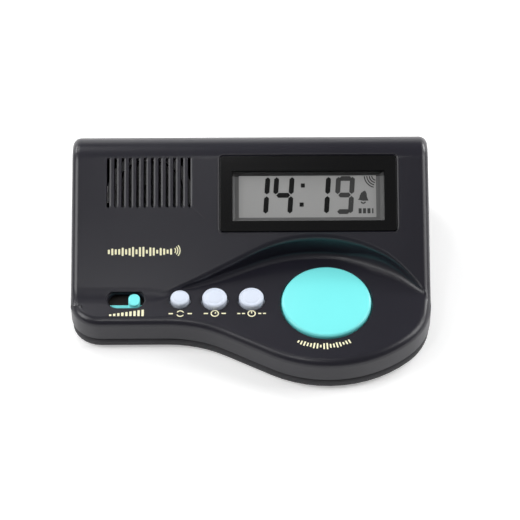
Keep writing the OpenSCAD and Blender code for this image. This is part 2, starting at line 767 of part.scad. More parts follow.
module speaker_cone() {
    cone_r = speaker_r - 1.6;
    cone_t = 0.4;
    color("#2a2a2c") on_face(grille_x, speaker_v, -wall - seat_h) rotate_extrude($fn = fine)
        polygon([[cone_r, 0], [cone_r - 1, 0.3], [cone_r - 2.2, 0.1], [4, -1.3],
                 [2.6, -0.5], [0, -0.1], [0, -0.1 - cone_t], [2.6, -0.5 - cone_t],
                 [4, -1.3 - cone_t], [cone_r - 2.2, 0.1 - cone_t],
                 [cone_r - 1, 0.3 - cone_t], [cone_r, -cone_t]]);
}

module speaker_clamps() {
    color("silver") for (p = speaker_posts)
        on_face(p[0], p[1], -wall - seat_h - rim_t - clamp_t) difference() {
            toward = p[0] < grille_x ? 1 : -1;
            clamp_l = 4.2 + clamp_reach + post_d / 2;
            translate([toward > 0 ? -post_d / 2 : post_d / 2 - clamp_l, -3, 0])
                cube([clamp_l, 6, clamp_t]);
            translate([0, 0, -over])
                cylinder(h = clamp_t + 2 * over, d = board_screw_d + 0.4, $fn = fine);
        }
}

module speaker_screws() {
    color("silver") for (p = speaker_posts)
        on_face(p[0], p[1], -wall - seat_h - rim_t - clamp_t)
            pan_screw(board_screw_d, board_screw_l - 0.8, board_head_d, board_head_h);
}

module speaker_leads() {
    start_w = -wall - seat_h - rim_t - basket_h;
    end_w = -wall - board_drop - board_t;
    left_x = lens_x - display_board_w / 2;
    color("#b3312c") for (dv = [-1.6, 1.6])
        lead(face_point(grille_x + magnet_r + 3.4, speaker_v + dv, start_w), -face_out * 7,
             face_point(left_x + 2.4, speaker_v + dv, end_w), face_out * 5, [0, 1, 0]);
}

module key_board() {
    color("#2f6b3c") difference() {
        block([key_board_left, key_board_front_y, key_board_z],
              [key_board_right, key_board_front_y + key_board_d, board_top_z]);
        at_points(key_posts, key_board_z - over)
            cylinder(h = board_t + 2 * over, d = board_screw_d + 0.4, $fn = fine);
    }
}

module key_board_screws() {
    color("silver") at_points(key_posts, key_board_z)
        pan_screw(board_screw_d, board_screw_l, board_head_d, board_head_h);
}

// A flat cable from the back of the display board down to the key board
module ribbon_cable() {
    thick = 0.6;
    top = face_point(0, display_board_low_v + 2.2, -wall - board_drop - board_t);
    end_y = key_board_front_y + key_board_d - 1.6;
    mid_z = (top[2] + board_top_z) / 2;
    color("#c9cac6") translate([talk_c[0] - 34, 0, 0]) rotate([90, 0, 90]) linear_extrude(12)
        polygon([[top[1], top[2]], [top[1] - 0.3, mid_z], [top[1] - 4, board_top_z + 2.2],
                 [end_y + 2, board_top_z + 2], [end_y, board_top_z],
                 [end_y + thick, board_top_z], [end_y + 2.2, board_top_z + 2 - thick],
                 [top[1] - 3.8 + thick, board_top_z + 2.2 - thick],
                 [top[1] - 0.3 + thick, mid_z - 0.4],
                 [top[1] + thick, top[2] + thick * tan(slope)]]);
}

// A push switch at the point c whose bore lets the plunger travel
module switch_body(c, travel) {
    at_points([c], board_top_z) difference() {
        translate([-switch_w / 2, -switch_w / 2, 0]) cube([switch_w, switch_w, switch_h]);
        translate([0, 0, switch_h - plunger_sink - travel - 0.3])
            cylinder(h = switch_h, d = plunger_d + 0.2, $fn = fine);
    }
}

module switch_bodies() {
    color("#303136") {
        for (c = [mode_c, hour_c, minute_c]) switch_body(c, key_travel);
        switch_body(talk_c, talk_travel);
    }
}

module plunger(c) {
    color("#d9d9d4") at_points([c], switch_top_z - plunger_sink)
        cylinder(h = stem_z - switch_top_z + plunger_sink, d = plunger_d, $fn = fine);
}

module mode_plunger() {
    plunger(mode_c);
}

module hour_plunger() {
    plunger(hour_c);
}

module minute_plunger() {
    plunger(minute_c);
}

module talk_plunger() {
    plunger(talk_c);
}

// A small key with a rounded rim, a shallow dish, a flange and a stem
module small_key(c, d) {
    r = d / 2;
    top_z = deck_h + key_rise;
    bevel = 0.9;
    color("#d9dcf0") at_points([c], 0) rotate_extrude($fn = fine)
        polygon(concat([[0, stem_z], [1.6, stem_z], [1.6, flange_z], [r + flange_w, flange_z],
                        [r + flange_w, deck_under_z], [r, deck_under_z]],
                       arc_pts([r - bevel, top_z - bevel], bevel, 0, 90, 5),
                       [[r - bevel - 0.4, top_z - 0.15], [0, top_z - 0.15]]));
}

module mode_key() {
    small_key(mode_c, mode_d);
}

module hour_key() {
    small_key(hour_c, time_d);
}

module minute_key() {
    small_key(minute_c, time_d);
}

// The talk button: a shallow dome over a hollow cap
module talk_button() {
    r = talk_d / 2;
    rim = 1.1;
    skin = 1.6;
    crown = 0.7;
    top_z = deck_h + talk_rise;
    color("#52e0c4") at_points([talk_c], 0) rotate_extrude($fn = 2 * fine)
        polygon(concat([[0, stem_z], [2.2, stem_z], [2.2, top_z - skin - crown],
                        [r - skin, top_z - skin - crown], [r - skin, flange_z],
                        [r + flange_w, flange_z], [r + flange_w, deck_under_z],
                        [r, deck_under_z]],
                       arc_pts([r - rim, top_z - crown - rim], rim, 0, 80, 6),
                       [for (k = [7 : -1 : 0]) let (q = k / 8)
                        [(r - rim) * q, top_z - crown * q * q]]));
}

module volume_switch() {
    size = volume_switch_size;
    color("#303136") at_points([volume_c], board_top_z) difference() {
        translate([-size[0] / 2, -size[1] / 2, 0]) cube(size);
        translate([-volume_half_travel - volume_tab_w / 2 - 0.2, -volume_tab_w / 2 - 0.1,
                   size[2] - 1.7])
            cube([2 * volume_half_travel + volume_tab_w + 0.4, volume_tab_w + 0.2, size[2]]);
    }
}

module volume_slider() {
    low_z = board_top_z + volume_switch_size[2] - 1.5;
    color("#d9d9d4") block([grip_x - volume_tab_w / 2, key_y - volume_tab_w / 2, low_z],
                           [grip_x + volume_tab_w / 2, key_y + volume_tab_w / 2,
                            volume_plate_z]);
}

module volume_knob() {
    color("#52e0c4") {
        at_points([[grip_x, key_y]], volume_plate_z) {
            plate(volume_plate_l, volume_plate_w, volume_plate_t, 1);
            rotate([0, 0, 90]) linear_extrude(deck_h + 0.3 - volume_plate_z)
                polygon(slot_outline(grip_l, grip_w));
        }
    }
}

// A cell along X with its nub pointing in the direction dir
module cell(y, dir) {
    x0 = -dir * (box_l / 2 - plate_t - 0.1 - spring_l);
    color("#b08a3a") translate([x0, y, cell_z]) rotate([0, dir * 90, 0]) {
        cylinder(h = cell_l - nub_l, d = cell_d, $fn = fine);
        cylinder(h = cell_l, d = nub_d, $fn = fine);
    }
}

module battery_front() {
    cell(box_mid_y - cell_pitch / 2, -1);
}

module battery_rear() {
    cell(box_mid_y + cell_pitch / 2, 1);
}

module battery_plates() {
    outer = box_l / 2 - 0.1;
    half = cell_d / 2 - 0.5;
    color("silver") {
        for (dy = [-cell_pitch / 2, cell_pitch / 2]) {
            block([-outer, box_mid_y + dy - half, cell_z - half],
                  [-outer + plate_t, box_mid_y + dy + half, cell_z + half]);
            block([-outer, box_mid_y + dy - tab_w / 2, cell_z],
                  [-outer + plate_t, box_mid_y + dy + tab_w / 2, box_roof_z + tab_rise]);
        }
        block([outer - plate_t, box_mid_y - cell_pitch / 2 - half, cell_z - half],
              [outer, box_mid_y + cell_pitch / 2 + half, cell_z + half]);
    }
}

// A conical spring that stands on a plate at x and points in the direction dir
module cone_spring(x, y, dir) {
    turns = 3;
    per_turn = 12;
    wire = 0.7;
    wide_r = 3.6;
    narrow_r = 2.2;
    n = turns * per_turn;
    path = [for (i = [0 : n]) let (q = i / n, a = 360 * i / per_turn,
                                   r = wide_r + (narrow_r - wide_r) * q)
            [x + dir * (wire / 2 + 0.05 + q * (spring_l - wire - 0.1)),
             y + r * cos(a), cell_z + dir * r * sin(a)]];
    tube(path, [for (i = [0 : n]) path[min(i + 1, n)] - path[max(i - 1, 0)]],
         wire / 2, [1, 0, 0], 6);
}

module battery_springs() {
    inner = box_l / 2 - 0.1 - plate_t;
    color("silver") {
        cone_spring(inner, box_mid_y - cell_pitch / 2, -1);
        cone_spring(-inner, box_mid_y + cell_pitch / 2, 1);
    }
}

module battery_leads() {
    tab_x = -box_l / 2 + 0.1 + plate_t / 2;
    end_w = -wall - board_drop - board_t;
    end_x = lens_x - display_board_w / 2 + 4;
    color("#b3312c") for (k = [0, 1])
        lead([tab_x, box_mid_y + (k - 0.5) * cell_pitch, box_roof_z + tab_rise], [0, 0, 6],
             face_point(end_x, display_board_low_v + 8.4 + 12 * k, end_w), face_out * 5,
             [0, 1, 0]);
}

top_shell();
base_shell();
battery_door();
rubber_feet();
case_screws();
display_lens();
lcd_front_film();
lcd_front_glass();
lcd_rear_glass();
lcd_reflector();
lcd_frame();
contact_strip();
display_board();
display_board_screws();
sound_chip();
clock_crystal();
capacitor();
speaker_frame();
speaker_magnet();
speaker_cone();
speaker_clamps();
speaker_screws();
speaker_leads();
key_board();
key_board_screws();
ribbon_cable();
switch_bodies();
volume_switch();
volume_slider();
volume_knob();
mode_key();
mode_plunger();
hour_key();
hour_plunger();
minute_key();
minute_plunger();
talk_button();
talk_plunger();
battery_front();
battery_rear();
battery_plates();
battery_springs();
battery_leads();
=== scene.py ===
# %% [markdown]
# # A talking desk clock, dressed in Blender
#
# The CAD model gives every part its size and place. This lesson loads it, and then
# gives the parts that a person sees the rounded edges, the small marks and the
# finishes of the real clock. Lengths are written in millimetres, as on a drawing,
# and are turned into Blender's metres at the moment a mesh is made.

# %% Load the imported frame
import json
from contextlib import contextmanager
from math import asin, atan2, cos, degrees, hypot, pi, radians, sin, sqrt, tan

import bmesh
import bpy
from mathutils import Matrix, Vector


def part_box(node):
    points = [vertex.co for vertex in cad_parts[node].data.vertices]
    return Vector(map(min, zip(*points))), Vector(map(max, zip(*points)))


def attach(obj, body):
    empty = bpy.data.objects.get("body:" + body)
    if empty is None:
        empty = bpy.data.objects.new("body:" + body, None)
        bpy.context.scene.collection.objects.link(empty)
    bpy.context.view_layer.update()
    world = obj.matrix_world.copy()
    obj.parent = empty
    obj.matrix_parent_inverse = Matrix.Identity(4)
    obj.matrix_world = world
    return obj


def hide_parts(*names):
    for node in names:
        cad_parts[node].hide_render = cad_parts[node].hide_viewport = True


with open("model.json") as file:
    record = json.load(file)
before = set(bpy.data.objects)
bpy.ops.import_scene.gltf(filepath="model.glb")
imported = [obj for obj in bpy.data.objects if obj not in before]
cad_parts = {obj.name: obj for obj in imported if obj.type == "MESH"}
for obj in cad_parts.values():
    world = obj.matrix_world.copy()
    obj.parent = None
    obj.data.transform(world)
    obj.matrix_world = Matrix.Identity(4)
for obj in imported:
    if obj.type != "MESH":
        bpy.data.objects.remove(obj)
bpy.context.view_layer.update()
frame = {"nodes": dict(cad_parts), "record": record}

nodes = frame["nodes"]

# %% [markdown]
# ## The measures of the case
#
# These are the named sizes of the construction, so that the dressed case lies
# exactly where the plain one is. X runs to the right, Y to the back and Z up.

# %% Measures
MM = 0.001
half_w, half_d = 65.0, 46.0
deck_h, seam_h, wall, edge_r = 15.7, 6.3, 2.2, 3.0
front_y = -half_d + 19.2
crease_y = front_y + 11.8
corner_r = 11.0
waist_r, waist_angle = 44.0, radians(28.3)
lobe_c, lobe_r, lobe_sweep = (27.8, -2.0), 44.0, radians(41.8)
talk_c, talk_r = (27.2, -18.1), 16.15
cove_c, cove_r, cove_angle = (24.0, -50.7), 55.0, radians(24.2)
cove_run_r = 90.0
side_r = (half_w - lobe_c[0] - lobe_r * sin(lobe_sweep)) / (1 - sin(lobe_sweep))
side_c = (lobe_c[0] + (lobe_r - side_r) * sin(lobe_sweep),
          lobe_c[1] - (lobe_r - side_r) * cos(lobe_sweep))
shoulder_c, shoulder_r = (35.0, 29.6), 11.0
rise = (shoulder_c[0] - crease_y, shoulder_c[1] - deck_h)
slope = atan2(rise[1], rise[0]) + asin(shoulder_r / hypot(*rise))
face_l = sqrt(rise[0] ** 2 + rise[1] ** 2 - shoulder_r ** 2)
key_y = front_y + 10.3
lens_x, lens_v = 21.1, face_l - 12.7
window_v = lens_v - 0.9
grille_x, grille_v = -36.7, face_l - 8.3
print(f"slope of the face {degrees(slope):.2f} degrees, {face_l:.1f} mm long")

# %% [markdown]
# ## Small tools for making meshes
#
# Most moulded parts can be described by rings of points, one above the other, with a
# skin between them. One tool skins such rings. Others draw the rings: a circle, a
# slot, a rectangle with round corners. The face of the clock slopes, so a last tool
# lifts a flat drawing onto it: x to the right, v up the face, w out of the face.

# %% Rings of points
def ring_circle(c, r, n=64):
    turns = (2 * pi * k / n for k in range(n))
    return [(c[0] + r * cos(t), c[1] + r * sin(t)) for t in turns]


def ring_box(c, w, h, r, n=6):
    """A rectangle with corners of radius r, as a ring of points."""
    ring = []
    for quarter, (sx, sy) in enumerate([(1, 1), (-1, 1), (-1, -1), (1, -1)]):
        for k in range(n + 1):
            t = pi / 2 * (quarter + k / n)
            ring.append((c[0] + sx * (w / 2 - r) + r * cos(t),
                         c[1] + sy * (h / 2 - r) + r * sin(t)))
    return ring


def level(ring, z):
    return [(p[0], p[1], z) for p in ring]


def face_point(x, v, w=0.0):
    return (x, crease_y + v * cos(slope) - w * sin(slope),
            deck_h + v * sin(slope) + w * cos(slope))


def on_face(ring, w):
    return [face_point(p[0], p[1], w) for p in ring]


print("a box ring has", len(ring_box((0, 0), 2, 1, 0.2)), "points")

# %% Skins over rings
def skin(rings, base=0, loop=False):
    """Points and faces of a closed skin over rings of one length. In a loop the last
    ring joins the first; otherwise a face closes each end."""
    n, count = len(rings[0]), len(rings)
    faces = [[base + k * n + j, base + k * n + (j + 1) % n,
              base + (k + 1) % count * n + (j + 1) % n, base + (k + 1) % count * n + j]
             for k in range(count if loop else count - 1) for j in range(n)]
    if not loop:
        faces.append([base + j for j in reversed(range(n))])
        faces.append([base + (count - 1) * n + j for j in range(n)])
    return [p for ring in rings for p in ring], faces


def skins(forms, loop=False):
    """Several closed skins as one list of points and faces."""
    points, faces = [], []
    for rings in forms:
        more, sides = skin(rings, len(points), loop)
        points += more
        faces += sides
    return points, faces


print("a skin over two circles has", len(skin([ring_circle((0, 0), 1)] * 2)[1]), "faces")

# %% Objects from points
def new_object(name, data):
    obj = bpy.data.objects.new(name, data)
    bpy.context.scene.collection.objects.link(obj)
    return obj


@contextmanager
def opened(mesh):
    """A mesh opened for editing, which is written back at the end."""
    work = bmesh.new()
    work.from_mesh(mesh)
    yield work
    work.to_mesh(mesh)
    work.free()


def size_of(obj):
    return [round(d / MM, 1) for d in obj.dimensions]


def shade(obj, sharp=35):
    obj.data.shade_smooth()
    obj.data.set_sharp_from_angle(angle=radians(sharp))
    return obj


same_place = 0.002 * MM


def piece(name, points, faces, sharp=35, tidy=True):
    """An object from points in millimetres, shaded smooth below the sharp angle."""
    mesh = bpy.data.meshes.new(name)
    mesh.from_pydata([Vector(p) * MM for p in points], [], faces)
    if tidy:
        with opened(mesh) as work:
            bmesh.ops.remove_doubles(work, verts=work.verts, dist=same_place)
            bmesh.ops.dissolve_degenerate(work, edges=work.edges, dist=same_place)
            bmesh.ops.recalc_face_normals(work, faces=work.faces)
    return shade(new_object(name, mesh), sharp)


print("points within", same_place / MM, "mm of each other count as one")

# %% Modifiers that are applied at once
def settle(obj):
    """The object with its modifiers applied to its mesh."""
    graph = bpy.context.evaluated_depsgraph_get()
    mesh = bpy.data.meshes.new_from_object(obj.evaluated_get(graph))
    obj.modifiers.clear()
    obj.data = mesh
    return obj


def combine(obj, operation, tool):
    step = obj.modifiers.new(operation.lower(), "BOOLEAN")
    step.operation, step.solver, step.object = operation, "MANIFOLD", tool
    settle(obj)
    bpy.data.objects.remove(tool)
    return obj


def join_flat_faces(obj, limit=0.04):
    """Merges the small faces of a Boolean that turn by less than limit degrees."""
    with opened(obj.data) as work:
        bmesh.ops.dissolve_limit(work, angle_limit=radians(limit),
                                 verts=work.verts, edges=work.edges,
                                 use_dissolve_boundaries=False)


def even_light(obj):
    """Keeps flat faces flat in light beside their rounded edges."""
    step = obj.modifiers.new("even_light", "WEIGHTED_NORMAL")
    step.keep_sharp = True
    return settle(obj)


print("tools ready")

# %% [markdown]
# ## The edges of the case in plan
#
# Two curves shape the clock when it is seen from above: the S-shaped front edge with
# its round lobe, and the wall that curves round behind the talk button. Both are
# arcs that meet as tangents, so their place at any x can be worked out exactly. The
# second number moves the curve inwards, which gives the rounded rim and the inside.

# %% Front edge and cove wall at any x
def arc_y(c, r, x, side):
    return c[1] + side * sqrt(max(r * r - (x - c[0]) ** 2, 0.0))


def bend_start(s, y, ra, c, rb, angle):
    """X where a level edge starts to bend so that it meets the circle round c."""
    touch = (c[0] - rb * sin(angle), c[1] + s * rb * cos(angle))
    return touch[0] - s * (touch[1] - y) / tan(angle) - ra * tan(angle / 2)


def s_edge(x, d, s, x0, y, ra, c, rb, angle):
    """Y at x of a level edge that bends at x0 on an arc, runs straight and ends in
    the circle round c. s is 1 where it bends to the back and -1 to the front."""
    hub, ra, rb = (x0, y + s * ra), ra - s * d, rb + s * d
    run = x0 + ra * sin(angle)
    if x < x0:
        return y + d
    if x < run:
        return arc_y(hub, ra, x, -s)
    if x < c[0] - rb * sin(angle):
        return arc_y(hub, ra, run, -s) + s * (x - run) * tan(angle)
    return arc_y(c, rb, x, s)


waist = (front_y, waist_r, lobe_c, lobe_r, waist_angle)
cove = (crease_y, cove_run_r, cove_c, cove_r, cove_angle)
waist_x, cove_x = bend_start(-1, *waist), bend_start(1, *cove)


def front_at(x, d):
    """Y of the front edge at x, moved inwards by d."""
    if x < corner_r - half_w:
        return arc_y((corner_r - half_w, front_y + corner_r), corner_r - d, x, -1)
    if x < lobe_c[0] + (lobe_r - d) * sin(lobe_sweep):
        return s_edge(x, d, -1, waist_x, *waist)
    return arc_y(side_c, side_r - d, x, -1)


def cove_at(x, d):
    """Y of the wall behind the talk button at x, moved back by d."""
    return s_edge(x, d, 1, cove_x, *cove)


print(f"waist starts at x {waist_x:.1f}, cove at x {cove_x:.1f}")

# %% [markdown]
# ## The top shell
#
# The real case top is one moulding. Its shape follows a rule, so it is made like a
# ship's hull: a section in Y and Z at each station along X, with a skin between
# neighbouring sections. The last sections at both sides step inwards round a quarter
# circle, which rounds the rim. Where the wall behind the talk button runs out, at both
# its ends, its section blends into a soft crease. Its foot grows wider to the right.

# %% One section of the case top
foot_r, wide_foot_r, crest_r, crease_r = 2.4, 7.0, 3.0, 16.0
wide_start, wide_full, fade_start, fade_most = 33.0, 51.0, 47.0, 0.8
full_wall_tall = 2.2
rim_steps, turn_steps, face_steps, shoulder_steps, deck_steps = 6, 6, 5, 14, 3


def turn(c, r, a0, a1, n):
    """Points of an arc round c, from angle a0 to a1 in radians."""
    return [(c[0] + r * cos(a0 + (a1 - a0) * k / n),
             c[1] + r * sin(a0 + (a1 - a0) * k / n)) for k in range(n + 1)]


def between(p, q, n):
    return [(p[0] + (q[0] - p[0]) * k / n, p[1] + (q[1] - p[1]) * k / n)
            for k in range(1, n)]


def progress(value, start, end):
    """How far value has come from start to end, from 0 to 1."""
    return min(max((value - start) / (end - start), 0.0), 1.0)


def wall_profile(x, inset, z):
    """The turn from the deck at height z up to the face, at x: an upright wall with
    a round foot and crest, or a soft crease where the wall is low or runs out."""
    y = cove_at(x, inset)
    top = deck_h + (y - crease_y) * tan(slope) - inset / cos(slope)
    tall = max(top - z, 0.001)
    lean = tan((pi / 2 - slope) / 2)
    widening = progress(x, wide_start, wide_full)
    foot = foot_r + (wide_foot_r - foot_r) * widening
    foot_share = 0.5 + 0.25 * widening
    r1 = min(foot + inset, foot_share * tall)
    r2 = min(max(crest_r - inset, 0.15), (1 - foot_share) * tall / lean)
    upright = (turn((y - r1, z + r1), r1, -pi / 2, 0, turn_steps)
               + turn((y + r2, top - r2 * lean), r2, pi, pi / 2 + slope,
                      turn_steps))
    bend_r = crease_r + inset
    knee = crease_y + inset * tan(slope / 2)
    start = knee - bend_r * tan(slope / 2)
    soft = turn((start, z + bend_r), bend_r, -pi / 2, slope - pi / 2,
                2 * turn_steps + 1)
    outer_tall = (cove_at(x, inset if inset < wall else inset - wall) - crease_y)
    share = progress(outer_tall * tan(slope), 0.0, full_wall_tall)
    share = share ** 2 * (3 - 2 * share)
    share *= 1 - fade_most * progress(x, fade_start, half_w) ** 3
    return [(a[0] + (b[0] - a[0]) * share, a[1] + (b[1] - a[1]) * share)
            for a, b in zip(soft, upright)]


def section(x, depth, tilt):
    """Points (y, z) of the surface at x. depth is 0 outside and the wall inside;
    tilt goes from 0 to a quarter turn round the rim at the two sides."""
    r = edge_r - depth
    inset = depth + r * (1 - cos(tilt))
    room = r * (1 - sin(tilt))
    points = [(front_at(x, depth), seam_h)]
    for k in range(rim_steps + 1):
        d = min(r * (1 - cos(pi / 2 * k / rim_steps)), room)
        lift = sqrt(max(r * r - (r - d) ** 2, 0.0))
        points.append((front_at(x, depth + d), deck_h - edge_r + lift))
    rising = wall_profile(x, inset, deck_h - inset)
    points += between(points[-1], rising[0], deck_steps) + rising
    top = turn(shoulder_c, shoulder_r - inset, pi / 2 + slope, 0, shoulder_steps)
    points += between(points[-1], top[0], face_steps) + top
    return points + [(half_d - inset, seam_h)]


print("each section has", len(section(0.0, 0.0, 0.0)), "points")

# %% Skin the case top
def stations(depth):
    """Places of the sections along X, each with its tilt round the rim."""
    r, core = edge_r - depth, half_w - edge_r
    tilts = [pi / 2 * k / rim_steps for k in range(1, rim_steps + 1)]
    left = corner_r - half_w
    swing = asin(min((core + left) / (corner_r - 0.01), 1.0))
    left_turn = [left - corner_r * sin(swing * (1 - k / 5)) for k in range(5)]
    reach = asin((core - side_c[0]) / side_r)
    right_turn = [side_c[0] + side_r * sin(reach * k / 9) for k in range(1, 10)]
    middle = [left + (side_c[0] - left) * k / 56 for k in range(57)]
    flat = [(x, 0.0) for x in left_turn + middle + right_turn]
    low = [(-core - r * sin(t), t) for t in reversed(tilts)]
    return low + flat + [(core + r * sin(t), t) for t in tilts]


def case_form():
    """One closed skin: outside, inside, and the rim at the seam between them."""
    sheets = []
    for depth in (0.0, wall):
        sheets.append([[(x, y, z) for y, z in section(x, depth, tilt)]
                       for x, tilt in stations(depth)])
    n, count = len(sheets[0][0]), len(sheets[0])
    points = [p for sheet in sheets for row in sheet for p in row]
    faces, half = [], n * count
    for base in (0, half):
        for i in range(count - 1):
            for j in range(n - 1):
                a = base + i * n + j
                faces.append([a, a + 1, a + n + 1, a + n])
        faces.append([base + j for j in range(n)])
        faces.append([base + (count - 1) * n + j for j in range(n)])
    for i in range(count - 1):
        for j in (0, n - 1):
            a = i * n + j
            faces.append([a, a + n, half + a + n, half + a])
    for i in (0, count - 1):
        a = i * n
        faces.append([a, a + n - 1, half + a + n - 1, half + a])
    return points, faces


case_top = piece("case_top", *case_form())
print("case top has", len(case_top.data.polygons), "faces before its openings")

# %% [markdown]
# ## Posts, openings and the slots of the grille
#
# The moulding has posts inside for its screws and a ring that seats the speaker. A
# Boolean union adds them and a Boolean difference cuts the openings. The slots of
# the grille repeat, so Geometry Nodes place one slot cutter many times: a mesh line
# gives the points and Instance on Points sets a copy on each.

# %% Trees that make geometry
def new_tree(name, inputs, kinds, wires, settings=()):
    """A Geometry Nodes tree with named inputs. A wire is a node and its output, then
    a node and its input; "" stands for the tree's own inputs."""
    tree = bpy.data.node_groups.new(name, "GeometryNodeTree")
    socket = tree.interface.new_socket
    keys = {label: socket(label, in_out="INPUT",
                          socket_type="NodeSocket" + kind).identifier
            for label, kind in {**inputs, "Finish": "Material"}.items()}
    socket("Geometry", in_out="OUTPUT", socket_type="NodeSocketGeometry")
    made = {kind: tree.nodes.new("GeometryNode" + kind)
            for kind in (*kinds, "RealizeInstances", "SetMaterial")}
    made[""] = tree.nodes.new("NodeGroupInput")
    for kind, end, value in settings:
        made[kind].inputs[end].default_value = value
    last = (("RealizeInstances", "Geometry", "SetMaterial", "Geometry"),
            ("", "Finish", "SetMaterial", "Material"))
    for source, start, target, end in (*wires, *last):
        tree.links.new(made[source].outputs[start], made[target].inputs[end])
    tree.links.new(made["SetMaterial"].outputs["Geometry"],
                   tree.nodes.new("NodeGroupOutput").inputs[0])
    return tree, keys


def grown(name, tree, keys, **values):
    """A plain mesh object that a tree makes from values for its named inputs."""
    obj = new_object(name, bpy.data.meshes.new(name))
    build = obj.modifiers.new(tree.name, "NODES")
    build.node_group = tree
    for label, value in values.items():
        build[keys[label]] = value
    return settle(obj)


row_of_copies = new_tree(
    "row_of_copies", {"Original": "Object", "Count": "Int", "Step": "Vector"},
    ("MeshLine", "ObjectInfo", "InstanceOnPoints"),
    (("", "Count", "MeshLine", "Count"), ("", "Step", "MeshLine", "Offset"),
     ("", "Original", "ObjectInfo", "Object"),
     ("MeshLine", "Mesh", "InstanceOnPoints", "Points"),
     ("ObjectInfo", "Geometry", "InstanceOnPoints", "Instance"),
     ("InstanceOnPoints", "Instances", "RealizeInstances", "Geometry")))
print("the row tree has", len(row_of_copies[0].nodes), "nodes")


# %% Posts and the speaker's seat
def turned(c, profile, lift=level, n=48):
    """Rings of a turned form round c, from pairs of radius and height."""
    return [lift(ring_circle(c, r, n), h) for r, h in profile]


def roof_z(x, y, depth):
    """Height of the skin over (x, y), moved inwards by depth."""
    if y < cove_at(x, depth):
        return deck_h - depth
    if y > shoulder_c[0] - (shoulder_r - depth) * sin(slope):
        return arc_y(shoulder_c, shoulder_r - depth, y, 1)
    return deck_h + (y - crease_y) * tan(slope) - depth / cos(slope)


key_posts = [(-52.0, -9.0), (-19.25, -9.0), (7.5, -9.0), (48.0, -16.0)]
case_posts = [(-58.5, -6.5), (53.0, -28.0), (-57.5, 38.0), (57.5, 38.0)]
display_posts = [(lens_x + sx * 33.3, lens_v - 2.3 + sv * 9.5)
                 for sx in (-1, 1) for sv in (-1, 1)]
speaker_v = grille_v - 3.0
speaker_posts = [(grille_x + sx * 18.2, speaker_v) for sx in (-1, 1)]
sunk = wall / 2
post_r, case_post_r, display_post_w, speaker_post_w = 2.25, 3.0, -8.8, -5.7
key_post_z, seat_r = 6.7, 15.3


def upright_post(c, r, z):
    foot = ring_circle(c, r, 32)
    return [level(foot, z), [(x, y, roof_z(x, y, sunk)) for x, y in foot]]


posts = [upright_post(c, post_r, key_post_z) for c in key_posts]
posts += [upright_post(c, case_post_r, seam_h) for c in case_posts]
posts += [turned(c, [(post_r, w), (post_r, -sunk)], on_face)
          for places, w in ((display_posts, display_post_w),
                            (speaker_posts, speaker_post_w)) for c in places]
combine(case_top, "UNION", piece("posts", *skins(posts)))
seat = turned((grille_x, speaker_v), [(seat_r, -sunk), (seat_r, speaker_post_w)],
              on_face, 96)
combine(case_top, "UNION", piece("seat", *skins([seat])))
seat_hollow = turned((grille_x, speaker_v),
                     [(14.15, -6.7), (14.15, -4.7), (12.5, -4.7), (12.5, -wall)],
                     on_face, 96)
combine(case_top, "DIFFERENCE", piece("seat_hollow", *skins([seat_hollow])))
print(len(posts), "posts and the speaker's seat")

# %% Openings of the case top
gap, pilot_r, case_hole_r = 0.5, 1.0, 1.35
key_caps = {"mode": ((-25.5, key_y), 3.425), "hour": ((-13.0, key_y), 4.475),
            "minute": ((0.2, key_y), 4.475), "talk": (talk_c, talk_r)}
volume_c, volume_w, volume_h = (-44.9, key_y), 13.0, 6.9
lens_w, lens_h, window_w, window_h = 64.0, 28.1, 56.0, 19.2


def screw_hole(c, r, start, end, lift=level):
    return turned(c, [(r, start), (r, end)], lift, 24)


def hole_through_deck(c, r, soft=0.18):
    return turned(c, [(r, under), (r, deck_h - soft),
                      (r + soft, deck_h), (r + soft, deck_h + 0.6)], level, 96)


def lens_ring(w, grow, r):
    """The outline of the lens at height w, larger by grow all round."""
    return on_face(ring_box((lens_x, lens_v), lens_w + 2 * grow, lens_h + 2 * grow, r), w)


under, ledge_w = deck_h - wall - 1, -1.3
lens_steps = [(ledge_w, 0.15), (-0.32, 0.15), (-0.12, 0.36), (0.0, 0.66), (1.0, 0.66)]
openings = [[on_face(ring_box((lens_x, window_v), window_w, window_h, 0.8), w)
             for w in (-wall - 1, ledge_w)]
            + [lens_ring(w, grow, 1.2) for w, grow in lens_steps]]
openings += [hole_through_deck(c, r + gap) for c, r in key_caps.values()]
volume_steps = [(under, 0), (deck_h - 0.5, 0), (deck_h - 0.12, 0.2), (deck_h, 0.55),
                (deck_h + 1, 0.55)]
openings.append([level(ring_box(volume_c, volume_w + 2 * g, volume_h + 2 * g,
                                volume_h / 2 - 0.01 + g, 12), z) for z, g in volume_steps])
openings += [screw_hole(c, pilot_r, 5.7, 9.9) for c in key_posts]
openings += [screw_hole(c, case_hole_r, 5.3, 12.5) for c in case_posts]
openings += [screw_hole(c, pilot_r, -9.8, -5.6, on_face) for c in display_posts]
openings += [screw_hole(c, pilot_r, -6.7, -1.9, on_face) for c in speaker_posts]
combine(case_top, "DIFFERENCE", piece("openings", *skins(openings)))
print("the case top has", len(openings), "openings and screw holes")

